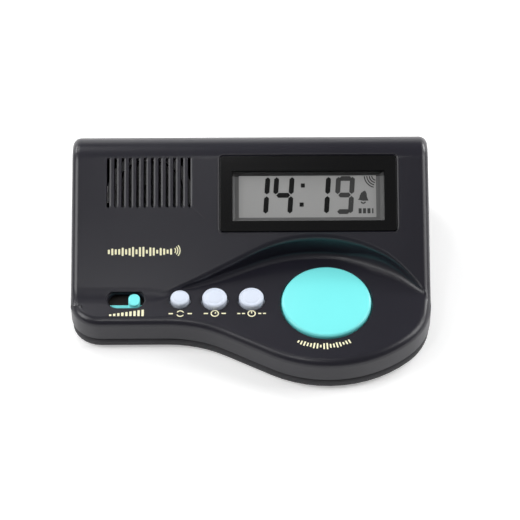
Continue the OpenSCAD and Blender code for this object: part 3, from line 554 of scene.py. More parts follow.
# %% Slots of the grille
slot_count, slot_pitch, slot_w, slot_l = 12, 2.68, 0.95, 18.4
first_x = grille_x - 0.2 - (slot_count - 1) / 2 * slot_pitch
slot_steps = [(-wall - 0.6, 0, 0), (-0.36, 0, 0), (-0.2, 0.04, 0.28),
              (-0.06, 0.1, 0.52), (0, 0.16, 0.62), (1, 0.16, 0.62)]
one_slot = piece("one_slot", *skins([[on_face(
    ring_box((first_x + (right - left) / 2, grille_v), slot_w + left + right,
             slot_l + left + right, (slot_w + left + right) / 2 - 0.001), w)
    for w, left, right in slot_steps]]))
slots = grown("slots", *row_of_copies, Original=one_slot, Count=slot_count,
              Step=[slot_pitch * MM, 0.0, 0.0])
bpy.data.objects.remove(one_slot)
combine(case_top, "DIFFERENCE", slots)
join_flat_faces(case_top)
shade(case_top, 32)
even_light(case_top)
print("case top has", len(case_top.data.polygons), "faces with its openings")

# %% [markdown]
# ## Finishes as expressions
#
# A finish is a node tree. Written node by node it is long, so one small class wraps
# an output and lets it be used in sums and products like a number, and another holds
# the material and adds any node with one call. Patterns read Object coordinates,
# which are metres here, so a scale of 1000 gives one feature each millimetre.

# %% Values
def sign(operation, swapped=False):
    """A method of Value that adds one Math node."""
    def method(self, other):
        return (self.math(operation, other) if not swapped
                else self.finish.node("Math", {"operation": operation},
                                      {0: other, 1: self}))
    return method


class Value:
    """An output of a node, used in sums and products like a number."""

    def __init__(self, finish, socket):
        self.finish, self.socket = finish, socket

    def math(self, operation, other=0.0):
        return self.finish.node("Math", {"operation": operation}, {0: self, 1: other})

    __add__ = __radd__ = sign("ADD")
    __mul__ = __rmul__ = sign("MULTIPLY")
    __sub__, __rsub__ = sign("SUBTRACT"), sign("SUBTRACT", swapped=True)
    __truediv__ = sign("DIVIDE")
    __gt__, __lt__ = sign("GREATER_THAN"), sign("LESS_THAN")


print("values ready")

# %% Finishes
class Finish:
    """A material with one shader, and one method that adds any node."""

    def __init__(self, name, **constants):
        self.material = bpy.data.materials.new(name)
        self.material.use_nodes = True
        self.tree = self.material.node_tree
        self.shader = self.tree.nodes["Principled BSDF"]
        for key, value in constants.items():
            self.shader.inputs[key.replace("_", " ")].default_value = value

    def node(self, kind, settings=None, sockets=None, out=0):
        made = self.tree.nodes.new("ShaderNode" + kind)
        for key, value in (settings or {}).items():
            setattr(made, key, value)
        for key, value in (sockets or {}).items():
            self.feed(made.inputs[key], value)
        return Value(self, made.outputs[out])

    def feed(self, socket, value):
        if isinstance(value, Value):
            self.tree.links.new(value.socket, socket)
        else:
            socket.default_value = value

    def give(self, **values):
        for key, value in values.items():
            self.feed(self.shader.inputs[key.replace("_", " ")], value)

    def place(self):
        return self.node("TexCoord", out="Object")

    def axes(self):
        parts = self.node("SeparateXYZ", sockets={0: self.place()})
        made = parts.socket.node.outputs
        return [Value(self, made[k]) for k in range(3)]

    def noise(self, scale, detail=2.0, at=None):
        return self.node("TexNoise", sockets={"Vector": at or self.place(),
                                              "Scale": scale, "Detail": detail})

    def blend(self, factor, a, b):
        return self.node("Mix", {"data_type": "RGBA"}, {0: factor, 6: a, 7: b}, out=2)

    def bump(self, height, distance):
        return self.node("Bump", sockets={"Height": height, "Distance": distance})


def tint(colour, factor=1.0):
    return tuple(min(c * factor, 1.0) for c in colour) + (1.0,)


def grey(value):
    return tint((value, value, value))


print("grey 0.5 is", grey(0.5))

# %% Moulded plastic and plated metal
def moulded(name, colour, roughness, grain=2600, depth=8e-6, drift=0.12, **constants):
    """Moulded plastic: a fine grain, and a slow drift in colour and in gloss."""
    f = Finish(name, **constants)
    slow = f.noise(45)
    fine = f.noise(grain, 3.0)
    f.give(Base_Color=f.blend(slow, tint(colour, 1 - drift), tint(colour, 1 + drift)),
           Roughness=roughness - 0.05 + slow * 0.06 + fine * 0.04,
           Normal=f.bump(fine, depth))
    return f.material


def metal(name, colour, roughness, stretch=(1, 1, 14), scale=900):
    """Plated metal: drawn marks in one direction and a slight cloud in its gloss."""
    f = Finish(name, Metallic=1.0)
    drawn = f.node("Mapping", sockets={"Vector": f.place(), "Scale": stretch})
    marks = f.noise(scale, 3.0, drawn)
    cloud = f.noise(160)
    f.give(Base_Color=f.blend(cloud, tint(colour, 0.86), tint(colour, 1.06)),
           Roughness=roughness + marks * 0.12 + cloud * 0.06,
           Normal=f.bump(marks, 4e-6))
    return f.material


# %% Dressing a piece
def dress(obj, material):
    obj.data.materials.clear()
    obj.data.materials.append(material)


stood_for = []


def add_piece(obj, material, slot, body, *replaced):
    """The last steps of a piece: its finish, its body, and the nodes it stands for."""
    dress(obj, material)
    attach(obj, body)
    if replaced:
        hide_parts(*replaced)
        stood_for.extend(replaced)


case_black = moulded("case_black", (0.0112, 0.0105, 0.0172), 0.33, depth=9e-6)
add_piece(case_top, case_black, "case_black", "root", "top_shell")
print("the case top wears", case_top.data.materials[0].name)

# %% [markdown]
# ## Camera, floor and light
#
# The photograph looks down at about 50 degrees from the front, from far away, so a
# long lens is used. The floor is pale and plain. Its shadow stays, and seen by the
# camera it also gives off a little light of its own, which makes the background
# white without any more light on the clock.

# %% Camera
frame_px, sensor_mm = 520, 36.0
look_at = Vector((3.4, -1.6, 20.0)) * MM
tilt_down, roll = radians(50.0), radians(-0.3)
distance, px_per_mm = 1.0, 2.76
eye = look_at + distance * Vector((0, -cos(tilt_down), sin(tilt_down)))
camera = new_object("camera", bpy.data.cameras.new("camera"))
camera.data.sensor_width = sensor_mm
camera.data.lens = px_per_mm * distance / MM * sensor_mm / frame_px
camera.data.clip_end = 20
camera.matrix_world = (Matrix.Translation(eye)
                       @ (look_at - eye).to_track_quat("-Z", "Y").to_matrix().to_4x4()
                       @ Matrix.Rotation(roll, 4, "Z"))
bpy.context.scene.camera = camera
bpy.context.scene.view_settings.view_transform = "Standard"
print(f"lens {camera.data.lens:.0f} mm at {distance:.1f} m")


# %% Floor, sky and lamps
def studio_white(name, colour, glow):
    """A pale surface that looks glow brighter to the camera, and in reflections."""
    f = Finish(name, Base_Color=tint(colour), Roughness=0.9)
    rays = f.node("LightPath")
    outs = rays.socket.node.outputs
    seen = Value(f, outs["Is Camera Ray"]) + Value(f, outs["Is Glossy Ray"])
    seen = (seen + Value(f, outs["Is Transmission Ray"])).math("MINIMUM", 1.0)
    light = f.node("Emission", sockets={"Color": (1, 1, 1, 1), "Strength": seen * glow})
    both = f.node("AddShader", sockets={0: Value(f, f.shader.outputs[0]), 1: light})
    f.tree.links.new(both.socket, f.tree.nodes["Material Output"].inputs["Surface"])
    return f.material


half = 3000.0
floor = piece("floor", [(-half, -half, 0), (half, -half, 0), (half, half, 0),
                        (-half, half, 0)], [[0, 1, 2, 3]], tidy=False)
dress(floor, studio_white("floor_white", (0.86, 0.86, 0.86), 0.36))

sky = bpy.data.worlds.new("sky")
bpy.context.scene.world = sky
sky.use_nodes = True
sky_light = sky.node_tree.nodes["Background"].inputs
sky_light["Color"].default_value, sky_light["Strength"].default_value = (1, 1, 1, 1), 0.17
clock_middle = Vector((0.0, 0.0, 0.02))


def lamp(name, place, size, watts):
    """An oblong lamp that points at the middle of the clock."""
    light = bpy.data.lights.new(name, "AREA")
    light.shape, light.size, light.size_y, light.energy = "RECTANGLE", *size, watts
    aim = (clock_middle - Vector(place)).to_track_quat("-Z", "Y").to_matrix().to_4x4()
    new_object(name, light).matrix_world = Matrix.Translation(place) @ aim


lamps = {"left_box": ((-1.1, -0.2, 0.95), (0.7, 0.9), 10.5),
         "right_box": ((1.1, 0.1, 0.85), (0.6, 0.9), 8.5),
         "back_strip": ((0.0, 1.3, 0.28), (1.6, 0.35), 2.4),
         "top_lamp": ((-0.07, -0.165, 0.33), (0.04, 0.04), 0.12),
         "crease_lamp": ((-0.02, -0.01, 0.45), (0.06, 0.06), 0.07),
         "deck_lamp": ((-0.32, 0.55, 0.68), (0.3, 0.3), 1.3),
         "left_rim": ((-0.75, 0.70, 0.42), (0.4, 0.3), 3.2),
         "right_rim": ((0.75, 0.70, 0.42), (0.4, 0.3), 5.5)}
for name, (place, size, watts) in lamps.items():
    lamp(name, place, size, watts)
print(len(lamps), "lamps,", round(sum(w for _, _, w in lamps.values()), 1), "W in all")

# %% [markdown]
# ## The display
#
# Under the lens lie a film, two glasses and a reflector. The lens is clear plastic
# with a gloss black border printed on it, so one material serves for both: a mask
# made from Object coordinates turns the middle see-through. The coordinates are
# first turned into the face's own x and v.

# %% Coordinates on the face, and the lens
def face_axes(f):
    """x and v on the sloping face, in millimetres, as values."""
    x, y, z = f.axes()
    v = (y * cos(slope) + z * sin(slope)) / MM
    return x / MM, v - (crease_y * cos(slope) + deck_h * sin(slope))


def inside(x, v, c, w, h):
    """1 inside a rectangle on the face and 0 outside it."""
    return (((x - c[0]).math("ABSOLUTE") < w / 2)
            * ((v - c[1]).math("ABSOLUTE") < h / 2))


def lens_finish():
    """Gloss black with a clear window, which is lap smaller than the opening of the
    case on each side."""
    f, lap = Finish("lens_printed", Specular_IOR_Level=0.35), 0.3
    x, v = face_axes(f)
    window = inside(x, v, (lens_x, window_v), window_w - 2 * lap, window_h - 2 * lap)
    haze = f.noise(30)
    f.give(Base_Color=f.blend(window, tint((0.0045, 0.0045, 0.0048)),
                              tint((0.02, 0.021, 0.021))),
           Alpha=1 - window * 0.95, Roughness=0.12 + haze * 0.05)
    return f.material


lens_edge, lens_corner_r = [(ledge_w, 0), (0.08, 0), (0.16, -0.04), (0.2, -0.12)], 1.1
lens = piece("lens_plate", *skins([[lens_ring(w, grow, lens_corner_r + grow)
                                    for w, grow in lens_edge]]))
add_piece(even_light(lens), lens_finish(), "lens", "root", "display_lens")
lip_steps = [(-0.1, 0.54), (0.08, 0.56), (0.16, 0.66), (0.11, 0.78), (-0.1, 0.86)]
lip = piece("lens_lip", *skins([[lens_ring(w, grow, lens_corner_r + grow)
                                 for w, grow in lip_steps]], loop=True), sharp=80)
add_piece(lip, moulded("lip_gloss", (0.030, 0.029, 0.034), 0.22, depth=2e-6),
          "case_black", "root")
print("lens", size_of(lens))

# %% Bezel between the lens and the film
film_w = -wall
lit_c, lit_w, lit_h = (20.8, 37.35), 50.0, 15.6
window_c, step_c = (lens_x, window_v), (20.8, 37.2)
bezel_w, bezel_h, bezel_top = window_w - 0.1, window_h - 0.1, ledge_w - 0.04
bezel_rings = [(window_c, bezel_w, bezel_h, bezel_top),
               (window_c, bezel_w - 1, bezel_h - 1, bezel_top),
               (step_c, 52.6, 16.9, -1.95), (step_c, 52.3, 16.6, -1.95),
               (lit_c, lit_w, lit_h, -2.24), (lit_c, lit_w, lit_h, film_w + 0.01),
               (window_c, bezel_w, bezel_h, film_w + 0.01)]
bezel = piece("display_bezel", *skins([[on_face(ring_box(c, w, h, 0.2, 2), d)
                                        for c, w, h, d in bezel_rings]], loop=True),
              sharp=20)


def bezel_finish():
    """Grey, and nearly black along the top, which lies in the shade of the lens."""
    f = Finish("bezel_grey")
    drift = f.noise(70)
    in_shade = face_axes(f)[1] > lit_c[1] + lit_h / 2 - 0.3
    f.give(Base_Color=f.blend(in_shade, f.blend(drift, grey(0.105), grey(0.125)),
                              grey(0.012)),
           Roughness=0.48 + drift * 0.08)
    return f.material


add_piece(bezel, bezel_finish(), "frame_plastic", "root")


def film_finish():
    """Grey film, bright where the display shows it, with the reflector's soft grain."""
    f = Finish("lcd_film", Coat_Weight=0.15)
    shown = inside(*face_axes(f), lit_c, lit_w, lit_h)
    grain, drift = f.noise(5200, 1.0), f.noise(60)
    bright = f.blend(drift * 0.6 + grain * 0.4, tint((0.36, 0.36, 0.357)),
                     tint((0.43, 0.43, 0.425)))
    f.give(Base_Color=f.blend(shown, grey(0.095), bright),
           Roughness=0.38 + grain * 0.1)
    return f.material


film = film_finish()
print("bezel has", len(bezel.data.polygons), "faces")

# %% [markdown]
# ## Digits
#
# A digit of a liquid crystal display is built from seven bars with pointed ends. Each
# bar is a thin closed prism that lies on the film. The bars lean by four degrees, as
# the digits do in the photograph.

# %% Bars and digits
bar_lean = tan(radians(4))
bar_t, mark_low, mark_high = 1.8, film_w - 0.02, film_w + 0.03
digit_v, half_tall = 37.85, 7.1


def bar(a, b, c):
    """A bar with pointed ends from a to b, leaning about the point c."""
    dx, dy = b[0] - a[0], b[1] - a[1]
    long = hypot(dx, dy)
    ux, uy = dx / long, dy / long
    tip, half = bar_t * 0.42, bar_t / 2
    flat = [(0, 0), (tip, -half), (long - tip, -half), (long, 0), (long - tip, half),
            (tip, half)]
    ring = [(a[0] + s * ux - q * uy, a[1] + s * uy + q * ux) for s, q in flat]
    return [(x + (v - c[1]) * bar_lean, v) for x, v in ring]


def digit(name, left, right):
    """Bars of one digit between two upright centre lines."""
    mid, gap_v, gap_x, past = digit_v, 0.35, 0.25, 0.6
    top, low = mid + half_tall - bar_t / 2, mid - half_tall + bar_t / 2
    ends = {"upper_left": ((left, mid + gap_v), (left, top + past)),
            "upper_right": ((right, mid + gap_v), (right, top + past)),
            "lower_right": ((right, low - past), (right, mid - gap_v)),
            "top": ((left + gap_x, top), (right - gap_x, top)),
            "middle": ((left + gap_x, mid), (right - gap_x, mid)),
            "bottom": ((left + gap_x, low), (right - gap_x, low))}
    dark = {"1": ["upper_right", "lower_right"],
            "4": ["upper_left", "upper_right", "middle", "lower_right"],
            "9": ["top", "upper_left", "upper_right", "middle", "lower_right",
                  "bottom"]}[name]
    return [bar(*ends[b], (left, mid)) for b in dark]


def flat_marks(name, rings, low, high, lift=on_face):
    return piece(name, *skins([[lift(ring, low), lift(ring, high)] for ring in rings]),
                 sharp=20)


def arc_band(c, r, t, a0, a1, n=14):
    """A bent band of width t along an arc, with angles in degrees."""
    a0, a1 = radians(a0), radians(a1)
    return turn(c, r + t / 2, a0, a1, n) + turn(c, r - t / 2, a1, a0, n)


# %% The time, the bell and the small marks
dark_bars = digit("1", 0, 5.98) + digit("4", 9.2, 14.8) + digit("1", 22, 28.1)
dark_bars += [ring_box(c, 1.5, 1.55, 0.15, 2) for c in ((19.15, 41.5), (18.65, 34.35))]
pale_bars = digit("9", 31.75, 36.85)
bell_c = (41.0, 37.2)
bell = [(-1.7, -0.9), (-1.2, -0.6), (-1.0, 0.3), (-0.6, 1.2), (0.1, 1.75), (0.6, 2.0),
        (0.9, 1.7), (1.2, 0.9), (1.25, 0.0), (1.6, -0.9), (1.7, -1.3), (0.0, -1.35)]
pale_bars += [[(bell_c[0] + 1.15 * p[0], bell_c[1] + 1.15 * p[1]) for p in bell],
              arc_band((bell_c[0] + 0.1, bell_c[1] - 1.7), 0.75, 0.5, 190, 350, 8)]
pale_bars += [arc_band((46.0, 45.0), r, 0.42, 182, 256) for r in (1.7, 2.6, 3.5, 4.4)]
pale_bars += [ring_box((x, 31.9), w, 1.9, 0.1, 2) for x, w in
              ((39.9, 1.1), (41.5, 1.1), (43.1, 1.1), (44.5, 0.5))]
lcd_black = moulded("lcd_black", (0.010, 0.010, 0.010), 0.6, drift=0.3,
                    Specular_IOR_Level=0.08)
lcd_grey = moulded("lcd_grey", (0.062, 0.062, 0.062), 0.6, drift=0.2,
                   Specular_IOR_Level=0.08)
for name, bars, finish in (("digit_marks", dark_bars, lcd_black),
                           ("digit_marks_pale", pale_bars, lcd_grey)):
    add_piece(flat_marks(name, bars, mark_low, mark_high), finish, "lcd_film", "root")
print(len(dark_bars), "dark and", len(pale_bars), "pale marks on the display")

# %% [markdown]
# ## Keys and the talk button
#
# Each cap is a turned form: a stem, a flange that keeps it in the case, and a cap with
# a rounded shoulder. The profile is a list of radius and height, and rings of points
# carry it round. The talk button is the same form, larger, with a low crown.

# %% Caps
deck_under, cap_top = deck_h - wall, deck_h + 1.8
stem_r, stem_z, flange_w, flange_t, tip_r = 1.7, 11.5, 1.1, 1.0, 0.05


def cap_side(r, z, shoulder, n):
    """Stem, flange and side of a cap, up to the end of its shoulder at height z."""
    low = deck_under - flange_t
    return [(stem_r, stem_z), (stem_r, low), (r + flange_w, low),
            (r + flange_w, deck_under), (r, deck_under)] + turn(
                (r - shoulder, z - shoulder), shoulder, 0, pi / 2, n)


def small_cap(c, r):
    """A cap with a fine groove round the flat middle of its top."""
    top = [(0.76, 0.10), (0.71, 0.22), (0.66, 0.09), (0.45, 0.03), (0.2, 0)]
    return turned(c, cap_side(r, cap_top - 0.10, 0.85, 6)
                  + [(r * q, cap_top - d) for q, d in top] + [(tip_r, cap_top)], n=72)


def talk_cap(c, r, crown=0.7, shoulder=1.1, steps=12):
    """A wide cap with a low crown."""
    inwards = [1 - k / steps for k in range(1, steps + 1)]
    return turned(c, cap_side(r, cap_top - crown, shoulder, 8)
                  + [(max((r - shoulder) * q, tip_r), cap_top - crown * q * q)
                     for q in inwards], n=120)


turquoise = moulded("turquoise", (0.20, 0.87, 0.87), 0.34, grain=1800, depth=3e-6,
                    drift=0.03, Coat_Weight=0.12)
key_pale = moulded("key_pale", (0.71, 0.77, 0.89), 0.38, grain=1800, depth=3e-6,
                   drift=0.03)
for name, (c, r) in key_caps.items():
    form, finish, slot, node = (
        (talk_cap, turquoise, "turquoise", "talk_button") if name == "talk"
        else (small_cap, key_pale, "key_pale", name + "_key"))
    cap = even_light(piece(name + "_cap", *skins([form(c, r)])))
    add_piece(cap, finish, slot, name, node)
    print(name, "cap", size_of(cap))

# %% Volume slider
grip_c, strip_w = (-42.0, key_y), 19.8
plate_low, plate_high, grip_top = 12.2, deck_under - 0.1, deck_h + 0.3
grip_steps = [(plate_low, 0), (grip_top - 0.5, 0), (grip_top - 0.15, -0.12),
              (grip_top - 0.04, -0.42), (grip_top, -0.6), (grip_top - 0.08, -0.95)]
grip_rings = [level(ring_box(grip_c, 4.2 + 2 * g, 5.6 + 2 * g, 2.09 + g, 10), z)
              for z, g in grip_steps]
foot_strip = [level(ring_box((grip_c[0], key_y - 2.75), strip_w, 4.4, 0.9), z)
              for z in (plate_low, plate_high)]
grip = piece("volume_grip", *skins([grip_rings]))
combine(grip, "UNION", piece("foot_strip", *skins([foot_strip])))
add_piece(even_light(grip), turquoise, "turquoise", "volume", "volume_knob")
# This black sheet under the back of the slot is painted shade: it stands in for the shadow
# that the slot's back wall casts on the turquoise plate.
shade_sheet_ring = ring_box((grip_c[0], key_y + 0.1), strip_w, 9.5, 1.0)
shade_sheet = piece("volume_cover", *skins([[level(shade_sheet_ring, z)
                                       for z in (plate_low, plate_high - 0.35)]]))
add_piece(shade_sheet, moulded("cover_black", (0.012, 0.010, 0.009), 0.55), "chip_black",
          "volume")
print("grip", size_of(grip), "and cover", size_of(shade_sheet))

# %% [markdown]
# ## Printed marks
#
# The words on the real clock are left off. In their places are plain signs of the
# same size and colour: a row of bars for the loudness, small dials for the hour and
# the minute, and a sound wave for the voice. Each mark is a very thin closed prism.

# %% Marks on the deck
ink_low, ink_high = -0.02, 0.025
ink = moulded("ink_cream", (0.93, 0.89, 0.60), 0.5, drift=0.04)


def on_deck(ring, w):
    return level(ring, deck_h + w)


def loudness(c):
    """Nine bars that grow taller to the right."""
    return [ring_box((c[0] + (k - 4) * 1.45, c[1] - 0.85 + 0.12 * k),
                     0.85, 0.8 + 0.27 * k, 0.12, 2) for k in range(9)]


def dial(c, hand):
    """A small clock dial: two half rings, a hair apart so that each stays closed,
    and one hand drawn from the middle."""
    tip = (c[0] + hand[0], c[1] + hand[1])
    half_t = 0.2 / hypot(*hand)
    nx, ny = -hand[1] * half_t, hand[0] * half_t
    stroke = [(c[0] - nx, c[1] - ny), (tip[0] - nx, tip[1] - ny),
              (tip[0] + nx, tip[1] + ny), (c[0] + nx, c[1] + ny)]
    return [arc_band(c, 1.3, 0.42, a + 1.5, a + 178.5, 20) for a in (0, 180)] + [stroke]


def dashes(c, places, w=1.6, h=0.56):
    return [ring_box((c[0] + dx, c[1]), w, h, 0.15, 2) for dx in places]


deck_marks = loudness((-44.6, -22.6))
mode_sign, hour_sign, minute_sign = (-25.3, -22.9), (-12.9, -22.9), (0.3, -23.0)
deck_marks += [arc_band(mode_sign, 1.25, 0.42, a, a + 130) for a in (20, 200)]
deck_marks += dashes(mode_sign, (-3.4, 3.4)) + dashes(hour_sign, (-3.2, 3.2))
deck_marks += dashes(minute_sign, (-4.6, -2.9, 2.9, 4.6), 1.1)
deck_marks += dial(hour_sign, (0.45, 0.5)) + dial(minute_sign, (0.0, 0.95))
wave_c, wave_r, wave_half, wave_t = (talk_c[0] - 1.2, talk_c[1]), 20.0, 27.0, 0.56
for k in range(17):
    angle = radians(-90 + wave_half * (k / 8 - 1))
    tall = 1.1 + 1.9 * abs(sin(k * 0.9)) * (1 - abs(k - 8) / 12)
    ray = (cos(angle), sin(angle))
    across = (-ray[1] * wave_t / 2, ray[0] * wave_t / 2)
    near, far = wave_r - tall / 2, wave_r + tall / 2
    deck_marks.append([(wave_c[0] + ray[0] * s + across[0] * q,
                        wave_c[1] + ray[1] * s + across[1] * q)
                       for s, q in ((near, -1), (far, -1), (far, 1), (near, 1))])
deck_print = flat_marks("deck_print", deck_marks, ink_low, ink_high, on_deck)
add_piece(deck_print, ink, "key_pale", "root")

# %% Marks on the face
sign_c, sign_step, sign_t = (-40.0, 16.6), 1.25, 0.72
face_marks = [ring_box((sign_c[0] + (k - 9) * sign_step, sign_c[1]), sign_t,
                       1.2 + 2.9 * abs(sin(k * 1.1 + 0.4)) * (1 - abs(k - 9) / 14),
                       0.2, 2) for k in range(19)]
face_marks += [arc_band((sign_c[0] + 11.6, sign_c[1] + 0.4), r, 0.36, -42, 42)
               for r in (1.3, 2.1, 2.9)]
face_print = flat_marks("face_print", face_marks, ink_low, ink_high)
add_piece(face_print, ink, "key_pale", "root")
print(len(deck_marks), "marks on the deck and", len(face_marks), "on the face")

# %% [markdown]
# ## Finishes of the base and the inside
#
# Below the seam the plastic is rougher, and inside lie green boards with copper
# tracks, cells in printed sleeves, clear glass and plated steel. Each finish could be
# a picture, but a node tree needs no file and keeps its scale on a part of any size.

# %% Stripes and boards
def striped(name, axis, pitch, colours, roughness, share=0.5):
    """Stripes across one axis of the object, each pitch millimetres."""
    f = Finish(name)
    wave = (f.axes()[axis] / (pitch * MM)).math("FRACT")
    grain = f.noise(700)
    f.give(Base_Color=f.blend(wave > share, tint(colours[0]), tint(colours[1])),
           Roughness=roughness + grain * 0.12, Normal=f.bump(grain, 1e-5))
    return f.material


def board(name):
    """Green solder mask over copper tracks, with tinned pads."""
    f = Finish(name, Coat_Weight=0.3, Coat_Roughness=0.15)
    bent = f.node("Mapping", sockets={"Vector": f.place(), "Rotation": (slope, 0, 0)})
    tracks = f.node("TexBrick", {"offset": 0.5}, {
        "Vector": bent, "Scale": 160.0, "Mortar Size": 0.035, "Brick Width": 0.9,
        "Row Height": 0.32, "Mortar Smooth": 0.1}, out=1)
    spots = f.node("TexVoronoi", sockets={"Vector": bent, "Scale": 260.0,
                                          "Randomness": 0.35})
    pads = spots < 0.16
    green = f.blend(tracks, tint((0.018, 0.105, 0.040)), tint((0.035, 0.19, 0.07)))
    f.give(Base_Color=f.blend(pads, green, tint((0.62, 0.60, 0.55))), Metallic=pads,
           Roughness=0.34 - pads * 0.08, Normal=f.bump(tracks + pads, 1.5e-5))
    return f.material


# %% Cells, glass and the cone of the speaker
def cell_sleeve(name, band_x=0.0100, end_x=0.0212):
    """A printed sleeve: a dark body with a copper band at each side of its middle,
    from band_x to end_x metres, and bare steel ends."""
    f = Finish(name, Coat_Weight=0.35, Coat_Roughness=0.1)
    from_middle = f.axes()[0].math("ABSOLUTE")
    steel_ends = from_middle > end_x
    copper = (from_middle > band_x) * (from_middle < end_x)
    scuff = f.noise(420, 4.0)
    sleeve = f.blend(copper, tint((0.018, 0.018, 0.020)), tint((0.62, 0.27, 0.09)))
    f.give(Base_Color=f.blend(steel_ends, sleeve, tint((0.66, 0.66, 0.65))),
           Metallic=steel_ends + copper * 0.7, Roughness=0.26 + scuff * 0.12,
           Normal=f.bump(scuff, 4e-6))
    return f.material


def clear_glass(name):
    """Thin display glass with a slight green cast and a trace of dust."""
    f = Finish(name, Specular_IOR_Level=0.4)
    dust = f.noise(900, 3.0)
    f.give(Base_Color=f.blend(dust, tint((0.60, 0.68, 0.64)), tint((0.70, 0.76, 0.73))),
           Alpha=0.05 + dust * 0.03, Roughness=0.06 + dust * 0.06)
    return f.material


def cone_finish(name):
    """Pressed film of a small speaker, with fine rings round its middle."""
    f = Finish(name, Sheen_Weight=0.1)
    x, v = face_axes(f)
    dx, dv = x - grille_x, v - speaker_v
    rings = ((dx * dx + dv * dv).math("SQRT") * 9.0).math("SINE")
    f.give(Base_Color=f.blend(f.noise(120), tint((0.010, 0.010, 0.011)),
                              tint((0.020, 0.020, 0.022))),
           Roughness=0.42 + rings * 0.06, Normal=f.bump(rings, 3e-5))
    return f.material


# %% The finish of each slot
carbon_on_pink = ((0.012, 0.012, 0.012), (0.60, 0.30, 0.34))
silver_on_blue = ((0.012, 0.022, 0.065), (0.55, 0.56, 0.58))
ribbon_greys = ((0.38, 0.38, 0.37), (0.27, 0.27, 0.26))
recipes = {
    "base_black": (moulded, (0.0140, 0.0136, 0.0175), 0.50, 1500, 2.4e-5),
    "foot_rubber": (moulded, (0.020, 0.020, 0.021), 0.78, 900, 4e-5),
    "screw_steel": (metal, (0.62, 0.62, 0.63), 0.26),
    "lcd_glass": (clear_glass,),
    "frame_plastic": (moulded, (0.70, 0.70, 0.66), 0.46, 1400),
    "strip_rubber": (striped, 0, 0.5, carbon_on_pink, 0.6),
    "board_green": (board,),
    "chip_black": (moulded, (0.016, 0.016, 0.017), 0.48, 1900, 1.4e-5),
    "capacitor_sleeve": (striped, 2, 4.6, silver_on_blue, 0.3, 0.9),
    "speaker_steel": (metal, (0.55, 0.55, 0.56), 0.34, (6, 6, 6), 500),
    "magnet": (metal, (0.20, 0.20, 0.21), 0.42, (4, 4, 4), 600),
    "cone_film": (cone_finish,),
    "ribbon_grey": (striped, 0, 1.0, ribbon_greys, 0.5, 0.84),
    "cell_steel": (cell_sleeve,),
    "contact_nickel": (metal, (0.70, 0.68, 0.63), 0.22, (1, 14, 1)),
}
finish_of = {slot: make(slot, *sizes) for slot, (make, *sizes) in recipes.items()}
finish_of["lcd_film"] = film
finish_of["lead_red"] = moulded("lead_red", (0.42, 0.022, 0.016), 0.36, 1200, 6e-6,
                                Coat_Weight=0.2)
print(len(finish_of), "finishes for the base and the inside")

# %% [markdown]
# ## Battery springs
#
# Each cell is pressed against its plate by a conical spring wound from nickel plated
# wire. A spring follows a rule, so Geometry Nodes wind it: Spiral gives the path, and
# Curve to Mesh runs a small circle along it. The radius shrinks from the plate to the
# cell, which lets the turns lie inside each other when the cell pushes them flat.

# %% A tree that winds a conical spring
conical_spring = new_tree(
    "conical_spring",
    dict.fromkeys(("Turns", "Wide", "Narrow", "Height", "Wire"), "Float"),
    ("CurveSpiral", "CurvePrimitiveCircle", "CurveToMesh"),
    (("", "Turns", "CurveSpiral", "Rotations"), ("", "Height", "CurveSpiral", "Height"),
     ("", "Wide", "CurveSpiral", "Start Radius"),
     ("", "Narrow", "CurveSpiral", "End Radius"),
     ("", "Wire", "CurvePrimitiveCircle", "Radius"),
     ("CurveSpiral", "Curve", "CurveToMesh", "Curve"),
     ("CurvePrimitiveCircle", "Curve", "CurveToMesh", "Profile Curve"),
     ("CurveToMesh", "Mesh", "RealizeInstances", "Geometry")),
    (("CurveSpiral", "Resolution", 40), ("CurvePrimitiveCircle", "Resolution", 12),
     ("CurveToMesh", "Fill Caps", True)))
print("the spring tree has", len(conical_spring[0].nodes), "nodes")

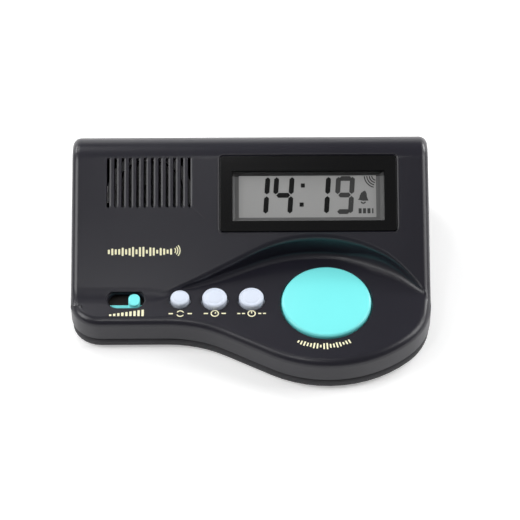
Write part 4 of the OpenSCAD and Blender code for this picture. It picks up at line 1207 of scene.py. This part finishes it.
# %% Wind both springs
nickel = finish_of["contact_nickel"]
wire_r, wide_r, narrow_r, spring_turns, spring_high = 0.35, 3.6, 2.2, 3.0, 3.7
spring_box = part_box("battery_springs")
spring_mesh = bpy.data.meshes.new("battery_coils")
with opened(spring_mesh) as both:
    for cell, side in (("battery_front", 1), ("battery_rear", -1)):
        low, high = (Vector(corner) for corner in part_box(cell))
        foot = (low + high) / 2
        foot.x = spring_box[side > 0][0] - side * wire_r * MM
        coil = grown("coil", *conical_spring, Turns=spring_turns, Wide=wide_r * MM,
                     Narrow=narrow_r * MM, Height=spring_high * MM, Wire=wire_r * MM,
                     Finish=nickel)
        coil.data.transform(Matrix.Translation(foot)
                            @ Matrix.Rotation(-side * pi / 2, 4, "Y"))
        both.from_mesh(coil.data)
        bpy.data.objects.remove(coil)
    bmesh.ops.recalc_face_normals(both, faces=both.faces)
coils = shade(new_object("battery_coils", spring_mesh))
add_piece(coils, nickel, "contact_nickel", "root", "battery_springs")
print("springs wound with", len(spring_mesh.polygons), "faces")

# %% [markdown]
# ## Smooth copies
#
# The parts that are left have their true shapes in the CAD model, but its meshes are
# loose triangles with flat shading. A copy of such a mesh can have its doubled points
# merged and its curves shaded smooth, and then stands for the node. Flat parts, such
# as boards and glass, would gain nothing by it: they keep the CAD mesh and only get
# their finish. The record says which finish a part gets and which body it is on.

# %% Smooth copies and dressed nodes
record = frame["record"]
slot_of = {part["node"]: part["material_slot"] for part in record["subparts"]}
body_of = {node: body for body, held in record["behaviour"]["bodies"].items()
           for node in held}
flat_nodes = ["lcd_front_film", "lcd_front_glass", "lcd_rear_glass", "lcd_reflector",
              "lcd_frame", "contact_strip", "display_board", "sound_chip", "key_board",
              "switch_bodies", "volume_switch", "volume_slider"]
smooth_nodes = [node for node in nodes if node not in flat_nodes + stood_for]
for node in smooth_nodes:
    mesh = bpy.data.meshes.new(node + "_smooth")
    with opened(mesh) as work:
        work.from_mesh(nodes[node].data)
        bmesh.ops.remove_doubles(work, verts=work.verts, dist=same_place / 2)
    slot = slot_of[node]
    add_piece(shade(new_object(mesh.name, mesh), 34), finish_of[slot], slot,
              body_of[node], node)
for node in flat_nodes:
    for place in nodes[node].material_slots:
        place.material = finish_of[slot_of[node]]
print(len(smooth_nodes), "smooth copies and", len(flat_nodes), "dressed nodes")
